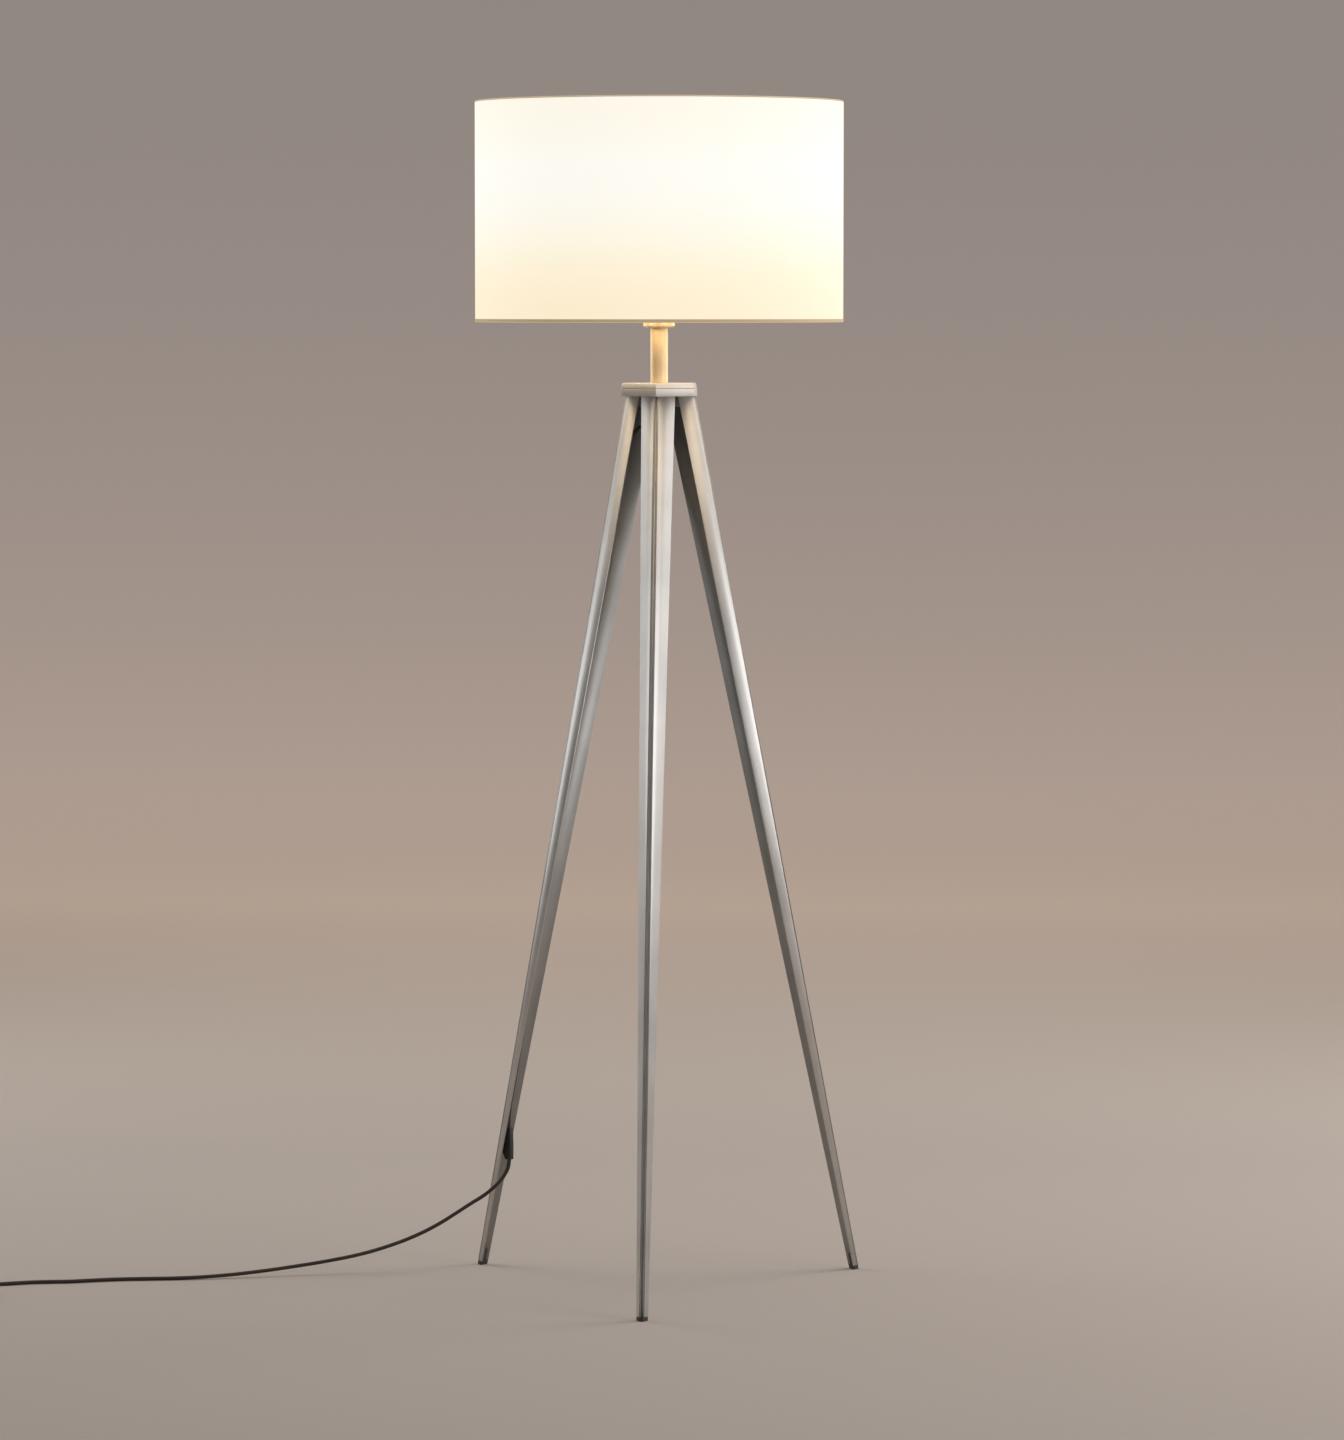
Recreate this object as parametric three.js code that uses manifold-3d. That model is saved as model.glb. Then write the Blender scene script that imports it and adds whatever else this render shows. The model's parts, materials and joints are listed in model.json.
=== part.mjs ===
// Tripod floor lamp: a drum shade on a lampholder and a short stem, over a hexagonal hub that carries
// three legs, each a folded sheet channel open towards the lamp's axis. Millimetres, +Z up. The origin
// is on the floor, in the middle of the lamp's footprint box; the front leg points to -Y, the other two
// stand 120 degrees to each side of it.

import * as THREE from 'three';
import * as BufferGeometryUtils from 'three/addons/utils/BufferGeometryUtils.js';
import Module from 'manifold-3d';

const wasm = await Module();
wasm.setup();

// ---------------------------------------------------------------- driving dimensions

const GAP = 0.3; // clearance between pieces that touch
const PAST = 1; // how far a cutter goes past what it cuts

// hub
const HUB_TOP = 1186; // floor to the top of the hub
const HUB_CORNER = 55; // axis to a corner of the hexagon
const COVER_THICKNESS = 6.5;
const COVER_DRAFT = 1.8; // how far the cover's corners lean in over its height
const PLATE_THICKNESS = 10;

// legs
const LEG_SPREAD = 298.6; // axis to the outer edge of a leg, at the floor
const LEG_SIDE_TOP = 44;
const LEG_SIDE_FOOT = 15;
const LEG_WALL = 1.5;
const GROOVE_WIDTH = 4; // of the groove pressed in along a leg's outer edge
const GROOVE_DEPTH = 3;
const LEG_BLOCK_HEIGHT = 14;
const PAD_HEIGHT = 5;
const PAD_STUB = 16; // how far a foot pad reaches up into its leg
const LEG_SCREW_SPACING = 16;
const LEG_SCREW_DIAMETER = 5;
const LEG_SCREW_HEAD = 9.4;
const LEG_SCREW_REACH = 10; // into the end block
const LEG_SCREW_SET_BACK = 3; // behind the middle of the leg

// stem and the threaded tube that clamps it
const STEM_DIAMETER = 23;
const STEM_WALL = 1.5;
const STEM_LENGTH = 71.5;
const NIPPLE_DIAMETER = 10;
const NIPPLE_BORE = 7;
const NIPPLE_FIT = 0.6; // how much wider its holes are
const NUT_ACROSS = 17;
const NUT_HEIGHT = 5;
const WASHER_DIAMETER = 22;
const WASHER_THICKNESS = 1.6;
const NIPPLE_TAIL = 3; // thread left under the lower nut
const NIPPLE_PROUD = 1; // thread left over the upper nut

// lampholder
const CUP_FIT = 0.8; // how much wider the cup is inside than the sleeve in it
const CUP_WALL = 1.4;
const CUP_FLOOR = 2;
const CUP_HEIGHT = 46;
const CUP_EDGE = 3; // rounding of its lower edge
const SLEEVE_DIAMETER = 37.4;
const SLEEVE_WALL = 4.7;
const SLEEVE_PROUD = 17; // above the cup
const INSERT_HEIGHT = 8;
const INSERT_BORE = 4;
const CONTACT_THICKNESS = 0.8;
const CONTACT_WIDTH = 6;
const CONTACT_FOOT = 14; // length of the centre contact's foot on the insert
const CONTACT_TONGUE = 6; // its upright, off the axis
const CONTACT_TIP = 10; // length of the part under the bulb
const CONTACT_RISE = 3; // its top above the sleeve's lower end
const SIDE_CONTACT_START = 2; // above the sleeve's lower end
const SIDE_CONTACT_LENGTH = 7;

// rings that clamp the shade on the sleeve
const SHADE_RING_DIAMETER = 56;
const SHADE_RING_FIT = 0.6;
const LOWER_RING_HEIGHT = 4;
const UPPER_RING_HEIGHT = 8;
const UPPER_RING_RIBS = 18;
const RIB_WIDTH = 2;
const RIB_DEPTH = 1.2;

// shade
const SHADE_DIAMETER = 480;
const SHADE_HEIGHT = 287;
const SHADE_RISE = 7; // the shade's lower rim above the lampholder cup's lower end
const SHADE_WALL = 1.2;
const RING_WIRE = 3.2;
const RING_INSET = 1.4; // ring wire above the lower rim and below the upper one
const SPOKE_WIRE = 4;
const FITTER_THICKNESS = 2;
const FITTER_DIAMETER = 54;

// bulb
const BULB_DIAMETER = 65;
const BULB_GLASS_HEIGHT = 92;
const BULB_NECK = 24;
const BULB_WALL = 1;
const CAP_DIAMETER = 26.2;
const CAP_HEIGHT = 24;
const CAP_THREADS = 4;
const THREAD_DEPTH = 0.9;
const CAP_WALL = 0.8;
const TIP_HEIGHT = 1.6;
const TIP_DIAMETER = 9;
const INSULATOR_HEIGHT = 4.5;
const INSULATOR_DIAMETER = 24;
const INSULATOR_NARROW = 10;

// cable, its strain relief on the left leg, and the cord
const CABLE = 5;
const RELIEF_END = 146; // floor to the lower end of the strain relief
const RELIEF_LENGTH = 42;
const RELIEF_WIDTH = 8.4;
const RELIEF_STAND_OFF = 8.5; // cable centre off the leg's open side at the relief's lower end
const RELIEF_SHELL = 1.2; // wall between the cable and the relief's outside
const RELIEF_HEEL = 14; // height over which it widens into the leg
const RELIEF_LIP = 2.5; // how far its upper end stands out of the leg
const BORE_FIT = 0.6; // how much wider a bore is than the cable in it
const CABLE_STEPS = 78;

// foot switch on the cord, lying along Y
const SWITCH_X = -890;
const SWITCH_Y = -140;
const SWITCH_WIDTH = 40;
const SWITCH_LENGTH = 72;
const SWITCH_CORNER = 16;
const SWITCH_HEIGHT = 20;
const SWITCH_WALL = 2;
const SWITCH_SPLIT = 7; // height of the joint between base and cover, and of the cord in it
const BUTTON_DIAMETER = 26;
const BUTTON_PROUD = 4.5;
const BUTTON_FLANGE = 2;
const BUTTON_TRAVEL = 3;
const BUTTON_RIM = 2; // width of its rounded rim, and of the flange that holds it in the cover
const BUTTON_DISH = 0.8; // how far the middle of its top is hollowed
const MODULE_WIDTH = 18;
const MODULE_LENGTH = 24;
const CHANNEL_FIT = 1.4; // how much wider than the cord the channel through the module is
const SLEEVE_LENGTH = 14;
const SLEEVE_WIDE = 10;
const SLEEVE_NARROW = 7.4;
const BASE_SCREW_DIAMETER = 3;
const BASE_SCREW_HEAD = 5.4;
const BASE_SCREW_LENGTH = 10;
const BASE_SCREW_POST = 7;
const BASE_SCREW_SUNK = 0.4;

// coil of the spare cord, its tie, and the plug beside it
const COIL_X = -922.5;
const COIL_Y = -226;
const COIL_MEAN_RADIUS = 27.5;
const COIL_TURNS_WIDE = 3;
const COIL_LAYERS = 2;
const COIL_PITCH = 5.2;
const TIE_THICKNESS = 1.1;
const TIE_WIDTH = 9;
const TIE_CORNER = 2;
const PLUG_X = -948;
const PLUG_Y = -170; // the plug body's cord end
const PLUG_LENGTH = 42;
const PLUG_FACE = 35;
const PLUG_TAIL = 12;
const PLUG_THICKNESS = 13.6;
const PLUG_RIM = 12; // length of the straight part behind its face
const PLUG_CHAMFER = 2;
const PIN_DIAMETER = 4;
const PIN_LENGTH = 19;
const PIN_SPACING = 18.6;

// ---------------------------------------------------------------- levels and fits

const plateTop = HUB_TOP - COVER_THICKNESS - GAP;
const plateBottom = plateTop - PLATE_THICKNESS;
const legTop = plateBottom - GAP;
const legBottom = PAD_HEIGHT + GAP;
const stemBottom = HUB_TOP + GAP;
const stemTop = stemBottom + STEM_LENGTH;
const cupBottom = stemTop + GAP;
const cupTop = cupBottom + CUP_HEIGHT;
const cupFloor = cupBottom + CUP_FLOOR;
const upperNutBottom = cupFloor + GAP;
const nippleTop = upperNutBottom + NUT_HEIGHT + NIPPLE_PROUD;
const washerTop = plateBottom - GAP;
const washerBottom = washerTop - WASHER_THICKNESS;
const lowerNutTop = washerBottom - GAP;
const lowerNutBottom = lowerNutTop - NUT_HEIGHT;
const nippleBottom = lowerNutBottom - NIPPLE_TAIL;
const cableTop = nippleTop + 2;
const insertBottom = cableTop + 4;
const insertTop = insertBottom + INSERT_HEIGHT;
const sleeveBottom = insertTop + GAP;
const sleeveTop = cupTop + SLEEVE_PROUD;
const lowerRingBottom = cupTop + GAP;
const lowerRingTop = lowerRingBottom + LOWER_RING_HEIGHT;
const fitterBottom = lowerRingTop + GAP;
const fitterTop = fitterBottom + FITTER_THICKNESS;
const upperRingBottom = fitterTop + GAP;
const upperRingTop = upperRingBottom + UPPER_RING_HEIGHT;
const shadeBottom = cupBottom + SHADE_RISE;
const shadeTop = shadeBottom + SHADE_HEIGHT;

const sleeveBore = SLEEVE_DIAMETER - 2 * SLEEVE_WALL;
const cupDiameter = SLEEVE_DIAMETER + CUP_FIT + 2 * CUP_WALL;

// Inner radii that leave a clearance outside a round piece.
const ringBore = SLEEVE_DIAMETER / 2 + SHADE_RING_FIT / 2;
const nippleHole = (NIPPLE_DIAMETER + NIPPLE_FIT) / 2;

// Depths from the edge where a leg's two flanges would meet: to the groove's mouth and to its floor.
const flangeSlope = Math.tan(Math.PI / 6);
const mouthDepth = GROOVE_WIDTH / 2 / flangeSlope;
const grooveDepth = mouthDepth + GROOVE_DEPTH;

// The leg's section is an equilateral triangle with an edge pointing outwards. These give, at a height,
// its side, and the distances from the lamp's axis to its outer edge, its middle and its open side.
const legSide = (z) => THREE.MathUtils.lerp(LEG_SIDE_FOOT, LEG_SIDE_TOP, z / legTop);
const legEdge = (z) => THREE.MathUtils.lerp(LEG_SPREAD, HUB_CORNER, z / legTop);
const legMiddle = (z) => legEdge(z) - legSide(z) / Math.sqrt(3);
const legFace = (z) => legEdge(z) - (legSide(z) * Math.sqrt(3)) / 2;

// The box of the lamp without its cord reaches from the front foot to the back of the shade.
const footReach = LEG_SPREAD - mouthDepth;
const axisY = (footReach - SHADE_DIAMETER / 2) / 2;

const LEG_TURNS = { front: 0, right: 120, left: -120 };

// ---------------------------------------------------------------- finishes

const finishes = {
  nickel: { color: 0xc4c2be, roughness: 0.34, metalness: 1 },
  steel: { color: 0x9c9c9c, roughness: 0.45, metalness: 1 },
  brass: { color: 0xb8924a, roughness: 0.35, metalness: 1 },
  zincCap: { color: 0xa8a8a4, roughness: 0.4, metalness: 1 },
  whiteWire: { color: 0xe6e4de, roughness: 0.5, metalness: 0 },
  shadeCloth: { color: 0xf6f2e8, roughness: 0.9, metalness: 0 },
  opalGlass: { color: 0xfff6e4, roughness: 0.2, metalness: 0 },
  blackGlass: { color: 0x15151a, roughness: 0.2, metalness: 0 },
  ceramic: { color: 0xeae6dc, roughness: 0.4, metalness: 0 },
  blackPlastic: { color: 0x1b1a19, roughness: 0.5, metalness: 0 },
  greyPlastic: { color: 0x4a4846, roughness: 0.5, metalness: 0 },
  padPlastic: { color: 0x2a2624, roughness: 0.7, metalness: 0 },
  cordSheath: { color: 0x211916, roughness: 0.55, metalness: 0 },
};

// ---------------------------------------------------------------- shapes

// A closed geometry as a solid that can be joined and cut.
function solid(geometry) {
  const bare = geometry.clone();
  bare.deleteAttribute('normal');
  bare.deleteAttribute('uv');
  const merged = BufferGeometryUtils.mergeVertices(bare, 1e-4);
  const vertProperties = new Float32Array(merged.attributes.position.array);
  const triVerts = new Uint32Array(merged.index.array);
  return new wasm.Manifold(new wasm.Mesh({ numProp: 3, vertProperties, triVerts }));
}

function geometryOf(body) {
  const mesh = body.getMesh();
  const geometry = new THREE.BufferGeometry();
  geometry.setAttribute('position', new THREE.BufferAttribute(mesh.vertProperties, 3));
  geometry.setIndex(new THREE.BufferAttribute(mesh.triVerts, 1));
  return geometry;
}

function cut(geometry, ...cutters) {
  let body = solid(geometry);
  for (const cutter of cutters) body = body.subtract(solid(cutter));
  return geometryOf(body);
}

function join(first, ...others) {
  let body = solid(first);
  for (const other of others) body = body.add(solid(other));
  return geometryOf(body);
}

// A profile of [radius, height] pairs turned about Z, running up its outer side. It is closed on
// itself unless it starts and ends on the axis.
function turned(profile, segments = 24) {
  const points = profile.map(([r, z]) => new THREE.Vector2(r, z));
  const onAxis = profile[0][0] === 0 && profile[profile.length - 1][0] === 0;
  if (!onAxis) points.push(points[0].clone());
  return new THREE.LatheGeometry(points, segments).rotateX(Math.PI / 2);
}

function ring(inner, outer, bottom, top, segments = 24) {
  return turned([[inner, bottom], [outer, bottom], [outer, top], [inner, top]], segments);
}

// A prism about Z: a cylinder with many sides, or a hexagon with a corner to the front with six.
function upright(radius, bottom, top, sides = 24, topRadius = radius) {
  const geometry = new THREE.CylinderGeometry(topRadius, radius, top - bottom, sides);
  return geometry.rotateX(Math.PI / 2).translate(0, 0, (bottom + top) / 2);
}

function block(width, depth, height, x, y, z) {
  return new THREE.BoxGeometry(width, depth, height).translate(x, y, z);
}

// A round wire bent into a ring about Z.
function wireRing(radius, wire, z, segments = 48, sides = 6) {
  const profile = [];
  for (let i = 0; i < sides; i++) {
    const turn = ((i + 0.5) / sides) * 2 * Math.PI;
    profile.push([radius + (wire / 2) * Math.cos(turn), z + (wire / 2) * Math.sin(turn)]);
  }
  return turned(profile, segments);
}

// A round rod between two points.
function rod(from, to, diameter, sides = 8) {
  const axis = new THREE.Vector3().subVectors(to, from);
  const geometry = new THREE.CylinderGeometry(diameter / 2, diameter / 2, axis.length(), sides);
  const up = new THREE.Vector3(0, 1, 0);
  geometry.applyQuaternion(new THREE.Quaternion().setFromUnitVectors(up, axis.clone().normalize()));
  const middle = new THREE.Vector3().lerpVectors(from, to, 0.5);
  return geometry.translate(middle.x, middle.y, middle.z);
}

// A round section swept along a smooth curve through the points.
function swept(points, diameter, steps, sides = 8) {
  const section = new THREE.Shape();
  for (let i = 0; i < sides; i++) {
    const turn = (i / sides) * 2 * Math.PI;
    const x = (diameter / 2) * Math.cos(turn);
    const y = (diameter / 2) * Math.sin(turn);
    if (i === 0) section.moveTo(x, y);
    else section.lineTo(x, y);
  }
  section.closePath();
  const extrudePath = new THREE.CatmullRomCurve3(points);
  return new THREE.ExtrudeGeometry(section, { extrudePath, steps, bevelEnabled: false });
}

function roundedRectangle(width, length, radius) {
  const [w, l] = [width / 2, length / 2];
  const shape = new THREE.Shape();
  shape.moveTo(-w + radius, -l);
  shape.lineTo(w - radius, -l);
  shape.absarc(w - radius, -l + radius, radius, -Math.PI / 2, 0);
  shape.lineTo(w, l - radius);
  shape.absarc(w - radius, l - radius, radius, 0, Math.PI / 2);
  shape.lineTo(-w + radius, l);
  shape.absarc(-w + radius, l - radius, radius, Math.PI / 2, Math.PI);
  shape.lineTo(-w, -l + radius);
  shape.absarc(-w + radius, -l + radius, radius, Math.PI, 1.5 * Math.PI);
  return shape;
}

function raised(shape, bottom, top, curveSegments = 4) {
  const settings = { depth: top - bottom, bevelEnabled: false, curveSegments };
  return new THREE.ExtrudeGeometry(shape, settings).translate(0, 0, bottom);
}

// The leg's prism between two heights, its three faces moved inwards by inset: it tapers upwards to
// its full size and leans in towards the hub. The front leg's; the others are turned copies. With open,
// its back moves by one and a half times as much towards the axis while the two flanks stay.
function legPrism(bottom, top, inset, open = 0) {
  const corner = (z) => legSide(z) / Math.sqrt(3) - 2 * inset + open;
  const geometry = upright(corner(bottom), -(top - bottom) / 2, (top - bottom) / 2, 3, corner(top));
  const lean = (legMiddle(bottom) - legMiddle(top)) / (top - bottom);
  geometry.applyMatrix4(new THREE.Matrix4().makeShear(0, 0, 0, 0, 0, lean));
  return geometry.translate(0, open - (legMiddle(bottom) + legMiddle(top)) / 2, (bottom + top) / 2);
}

// A box that follows the leg's outer edge: it takes the edge away down to a depth.
function edgeCutter(width, depth, bottom, top) {
  const over = 4; // past the edge, so that nothing of it is left
  const geometry = block(width, depth + over, top - bottom, 0, 0, 0);
  const lean = (legEdge(bottom) - legEdge(top)) / (top - bottom);
  geometry.applyMatrix4(new THREE.Matrix4().makeShear(0, 0, 0, 0, 0, lean));
  const outside = (legEdge(bottom) + legEdge(top)) / 2 + over;
  return geometry.translate(0, -outside + (depth + over) / 2, (bottom + top) / 2);
}

// The groove with the wall round it, and a clearance: what a leg's hollow leaves standing.
function grooveCore(clearance, bottom, top) {
  const around = LEG_WALL + clearance;
  return edgeCutter(GROOVE_WIDTH + 2 * around, grooveDepth + around, bottom, top);
}

// A side view of [distance from the axis, height] pairs, given a width across the leg.
function acrossLeg(profile, width) {
  const shape = new THREE.Shape(profile.map(([r, z]) => new THREE.Vector2(r, z)));
  const geometry = new THREE.ExtrudeGeometry(shape, { depth: width, bevelEnabled: false });
  const basis = new THREE.Matrix4().makeBasis(
    new THREE.Vector3(0, -1, 0),
    new THREE.Vector3(0, 0, 1),
    new THREE.Vector3(-1, 0, 0),
  );
  return geometry.translate(0, 0, -width / 2).applyMatrix4(basis);
}

// ---------------------------------------------------------------- the scene graph

const root = new THREE.Group();
const lamp = new THREE.Group();
lamp.position.y = axisY;
root.add(lamp);

function add(parent, name, geometry, finish) {
  const mesh = new THREE.Mesh(geometry, new THREE.MeshStandardMaterial(finishes[finish]));
  mesh.name = name;
  parent.add(mesh);
}

// ---------------------------------------------------------------- shade

const wireRadius = SHADE_DIAMETER / 2 - SHADE_WALL - GAP - RING_WIRE / 2;
const lowerWire = shadeBottom + RING_INSET + RING_WIRE / 2;
const upperWire = shadeTop - RING_INSET - RING_WIRE / 2;

function shadeDrum() {
  return ring(SHADE_DIAMETER / 2 - SHADE_WALL, SHADE_DIAMETER / 2, shadeBottom, shadeTop, 72);
}

// The lower wire ring, three spokes that climb to the middle and the ring that the lampholder takes.
function shadeFitter() {
  const spokes = [30, 150, 270].map((degrees) => {
    const turn = THREE.MathUtils.degToRad(degrees);
    const at = (r, z) => new THREE.Vector3(r * Math.cos(turn), r * Math.sin(turn), z);
    const inner = at(FITTER_DIAMETER / 2 - PAST, (fitterBottom + fitterTop) / 2);
    return rod(at(wireRadius, lowerWire), inner, SPOKE_WIRE);
  });
  const body = join(
    wireRing(wireRadius, RING_WIRE, lowerWire),
    ...spokes,
    ring(ringBore, FITTER_DIAMETER / 2, fitterBottom, fitterTop, 36),
  );
  // The spokes' inner ends are pressed flat between the two shade rings.
  const clear = (bottom) => {
    return ring(ringBore - PAST, SHADE_RING_DIAMETER / 2 + PAST, bottom, bottom + SPOKE_WIRE, 36);
  };
  return cut(body, clear(fitterTop), clear(fitterBottom - SPOKE_WIRE));
}

add(lamp, 'shade_drum', shadeDrum(), 'shadeCloth');
add(lamp, 'shade_upper_ring', wireRing(wireRadius, RING_WIRE, upperWire), 'whiteWire');
add(lamp, 'shade_fitter', shadeFitter(), 'whiteWire');

// ---------------------------------------------------------------- lampholder

const ARC_STEPS = 4;
function holderCup() {
  const [outer, inner] = [cupDiameter / 2, cupDiameter / 2 - CUP_WALL];
  const profile = [[nippleHole, cupBottom]];
  for (let i = 0; i <= ARC_STEPS; i++) {
    const turn = (i / ARC_STEPS) * (Math.PI / 2);
    const r = outer - CUP_EDGE + CUP_EDGE * Math.sin(turn);
    profile.push([r, cupBottom + CUP_EDGE - CUP_EDGE * Math.cos(turn)]);
  }
  profile.push([outer, cupTop], [inner, cupTop], [inner, cupFloor], [nippleHole, cupFloor]);
  return turned(profile, 32);
}

// A hexagonal nut on the threaded tube.
function nut(bottom) {
  const corner = NUT_ACROSS / Math.sqrt(3);
  const bore = upright(nippleHole, bottom - PAST, bottom + NUT_HEIGHT + PAST, 24);
  return cut(upright(corner, bottom, bottom + NUT_HEIGHT, 6), bore);
}

// The upper shade ring is ribbed for the fingers.
function upperShadeRing() {
  const grooves = [];
  const middle = (upperRingBottom + upperRingTop) / 2;
  for (let i = 0; i < UPPER_RING_RIBS; i++) {
    const height = UPPER_RING_HEIGHT - RIB_WIDTH;
    const groove = block(RIB_WIDTH, 2 * RIB_DEPTH, height, 0, SHADE_RING_DIAMETER / 2, middle);
    grooves.push(groove.rotateZ((i / UPPER_RING_RIBS) * 2 * Math.PI));
  }
  return cut(ring(ringBore, SHADE_RING_DIAMETER / 2, upperRingBottom, upperRingTop, 36), ...grooves);
}

// The centre contact is a strip that springs up from the insert; the side contact stands in the bore.
const contactTop = sleeveBottom + CONTACT_RISE;
function centreContact() {
  const bottom = insertTop + GAP;
  const strip = (length, x, z) => block(length, CONTACT_WIDTH, CONTACT_THICKNESS, x, 0, z);
  const foot = strip(CONTACT_FOOT, 0, bottom + CONTACT_THICKNESS / 2);
  const tip = strip(
    CONTACT_TIP,
    (CONTACT_TIP - CONTACT_THICKNESS) / 2 - CONTACT_TONGUE,
    contactTop - CONTACT_THICKNESS / 2,
  );
  const height = contactTop - bottom;
  const tongue = block(CONTACT_THICKNESS, CONTACT_WIDTH, height, -CONTACT_TONGUE, 0, bottom + height / 2);
  return join(foot, tongue, tip);
}

function sideContact() {
  const x = sleeveBore / 2 - GAP - CONTACT_THICKNESS;
  const middle = sleeveBottom + SIDE_CONTACT_START + SIDE_CONTACT_LENGTH / 2;
  return block(CONTACT_THICKNESS, (CONTACT_WIDTH * 2) / 3, SIDE_CONTACT_LENGTH, x, 0, middle);
}

const lowerShadeRing = ring(ringBore, SHADE_RING_DIAMETER / 2, lowerRingBottom, lowerRingTop, 36);
const holderInsert = ring(INSERT_BORE / 2, SLEEVE_DIAMETER / 2, insertBottom, insertTop);
const holderSleeve = ring(sleeveBore / 2, SLEEVE_DIAMETER / 2, sleeveBottom, sleeveTop, 32);

add(lamp, 'holder_cup', holderCup(), 'nickel');
add(lamp, 'holder_nut', nut(upperNutBottom), 'steel');
add(lamp, 'holder_insert', holderInsert, 'ceramic');
add(lamp, 'holder_sleeve', holderSleeve, 'blackPlastic');
add(lamp, 'centre_contact', centreContact(), 'brass');
add(lamp, 'side_contact', sideContact(), 'brass');
add(lamp, 'lower_shade_ring', lowerShadeRing, 'blackPlastic');
add(lamp, 'upper_shade_ring', upperShadeRing(), 'blackPlastic');

// ---------------------------------------------------------------- bulb

const tipBottom = contactTop + GAP;
const tipTop = tipBottom + TIP_HEIGHT;
const insulatorBottom = tipTop + GAP;
const insulatorTop = insulatorBottom + INSULATOR_HEIGHT;
const capBottom = insulatorTop + GAP;
const capTop = capBottom + CAP_HEIGHT;
const glassBottom = capTop + GAP;

// The screw cap's wall goes in and out once for each turn of its thread.
function bulbCap() {
  const outer = [];
  for (let i = 0; i <= 2 * CAP_THREADS; i++) {
    const inset = i % 2 === 0 ? THREAD_DEPTH : 0;
    outer.push([CAP_DIAMETER / 2 - inset, capBottom + (i / (2 * CAP_THREADS)) * CAP_HEIGHT]);
  }
  const inner = CAP_DIAMETER / 2 - THREAD_DEPTH - CAP_WALL;
  return turned([...outer, [inner, capTop], [inner, capBottom]], 24);
}

// The envelope: a neck that flares, as [height, how much wider], into a ball.
const BALL_STEPS = 9;
const NECK_FLARE = [[0, 0], [8, 0.6], [18, 2.4]];
const SHOULDER = 6; // how much wider than the neck the ball starts
function bulbGlass() {
  const ball = BULB_DIAMETER / 2;
  const centre = glassBottom + BULB_GLASS_HEIGHT - ball;
  const start = Math.asin((BULB_NECK / 2 + SHOULDER) / ball);
  const outer = NECK_FLARE.map(([height, wider]) => [BULB_NECK / 2 + wider, glassBottom + height]);
  for (let i = 0; i <= BALL_STEPS; i++) {
    const turn = (Math.PI - start) * (1 - i / BALL_STEPS);
    outer.push([ball * Math.sin(turn), centre + ball * Math.cos(turn)]);
  }
  outer[outer.length - 1][0] = 0;
  const inner = outer.map(([r, z]) => [Math.max(r - BULB_WALL, 0), z < centre ? z : z - BULB_WALL]);
  inner.reverse();
  return turned([...outer, ...inner.slice(1)], 24);
}

// A disc that widens upwards.
function flaring(bottomDiameter, topDiameter, bottom, top, segments) {
  return turned([[0, bottom], [bottomDiameter / 2, bottom], [topDiameter / 2, top], [0, top]], segments);
}
const bulbTip = flaring(TIP_DIAMETER - 1, TIP_DIAMETER, tipBottom, tipTop, 20);
const bulbInsulator = flaring(INSULATOR_NARROW, INSULATOR_DIAMETER, insulatorBottom, insulatorTop, 28);

add(lamp, 'bulb_tip', bulbTip, 'steel');
add(lamp, 'bulb_insulator', bulbInsulator, 'blackGlass');
add(lamp, 'bulb_cap', bulbCap(), 'zincCap');
add(lamp, 'bulb_glass', bulbGlass(), 'opalGlass');

// ---------------------------------------------------------------- stem, hub and the threaded tube

// The screws sit behind the middle of each leg's end block, clear of the groove.
const screwRadius = legMiddle(legTop) - LEG_SCREW_SET_BACK;
const screwPlaces = [-1, 1].map((side) => [(side * LEG_SCREW_SPACING) / 2, -screwRadius]);

// A countersunk screw, head up, flush with a face; with a clearance it is the hole for one.
function countersunk(diameter, head, faceZ, depth, clearance = 0) {
  const [r, h] = [diameter / 2 + clearance, head / 2 + clearance];
  const [end, top] = [faceZ - depth - clearance, faceZ + clearance];
  const neck = faceZ - (head - diameter) / 2 - clearance;
  return turned([[0, end], [r, end], [r, neck], [h, faceZ - clearance], [h, top], [0, top]], 14);
}

function legScrewHoles() {
  const holes = [];
  for (const degrees of Object.values(LEG_TURNS)) {
    for (const [x, y] of screwPlaces) {
      const hole = countersunk(LEG_SCREW_DIAMETER, LEG_SCREW_HEAD, plateTop, PLATE_THICKNESS + PAST, GAP);
      holes.push(hole.translate(x, y, 0).rotateZ(THREE.MathUtils.degToRad(degrees)));
    }
  }
  return holes;
}

function hubPlate() {
  const bore = upright(nippleHole, plateBottom - PAST, plateTop + PAST, 24);
  return cut(upright(HUB_CORNER, plateBottom, plateTop, 6), bore, ...legScrewHoles());
}

function hubCover() {
  const bore = upright(nippleHole, plateTop - PAST, HUB_TOP + PAST, 24);
  return cut(upright(HUB_CORNER, plateTop + GAP, HUB_TOP, 6, HUB_CORNER - COVER_DRAFT), bore);
}

const stemTube = ring(STEM_DIAMETER / 2 - STEM_WALL, STEM_DIAMETER / 2, stemBottom, stemTop, 32);
const threadedTube = ring(NIPPLE_BORE / 2, NIPPLE_DIAMETER / 2, nippleBottom, nippleTop, 24);

add(lamp, 'stem_tube', stemTube, 'nickel');
add(lamp, 'hub_cover', hubCover(), 'nickel');
add(lamp, 'hub_plate', hubPlate(), 'nickel');
add(lamp, 'threaded_tube', threadedTube, 'steel');
add(lamp, 'hub_washer', ring(nippleHole, WASHER_DIAMETER / 2, washerBottom, washerTop, 28), 'steel');
add(lamp, 'hub_nut', nut(lowerNutBottom), 'steel');

// ---------------------------------------------------------------- cable inside the lamp

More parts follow.
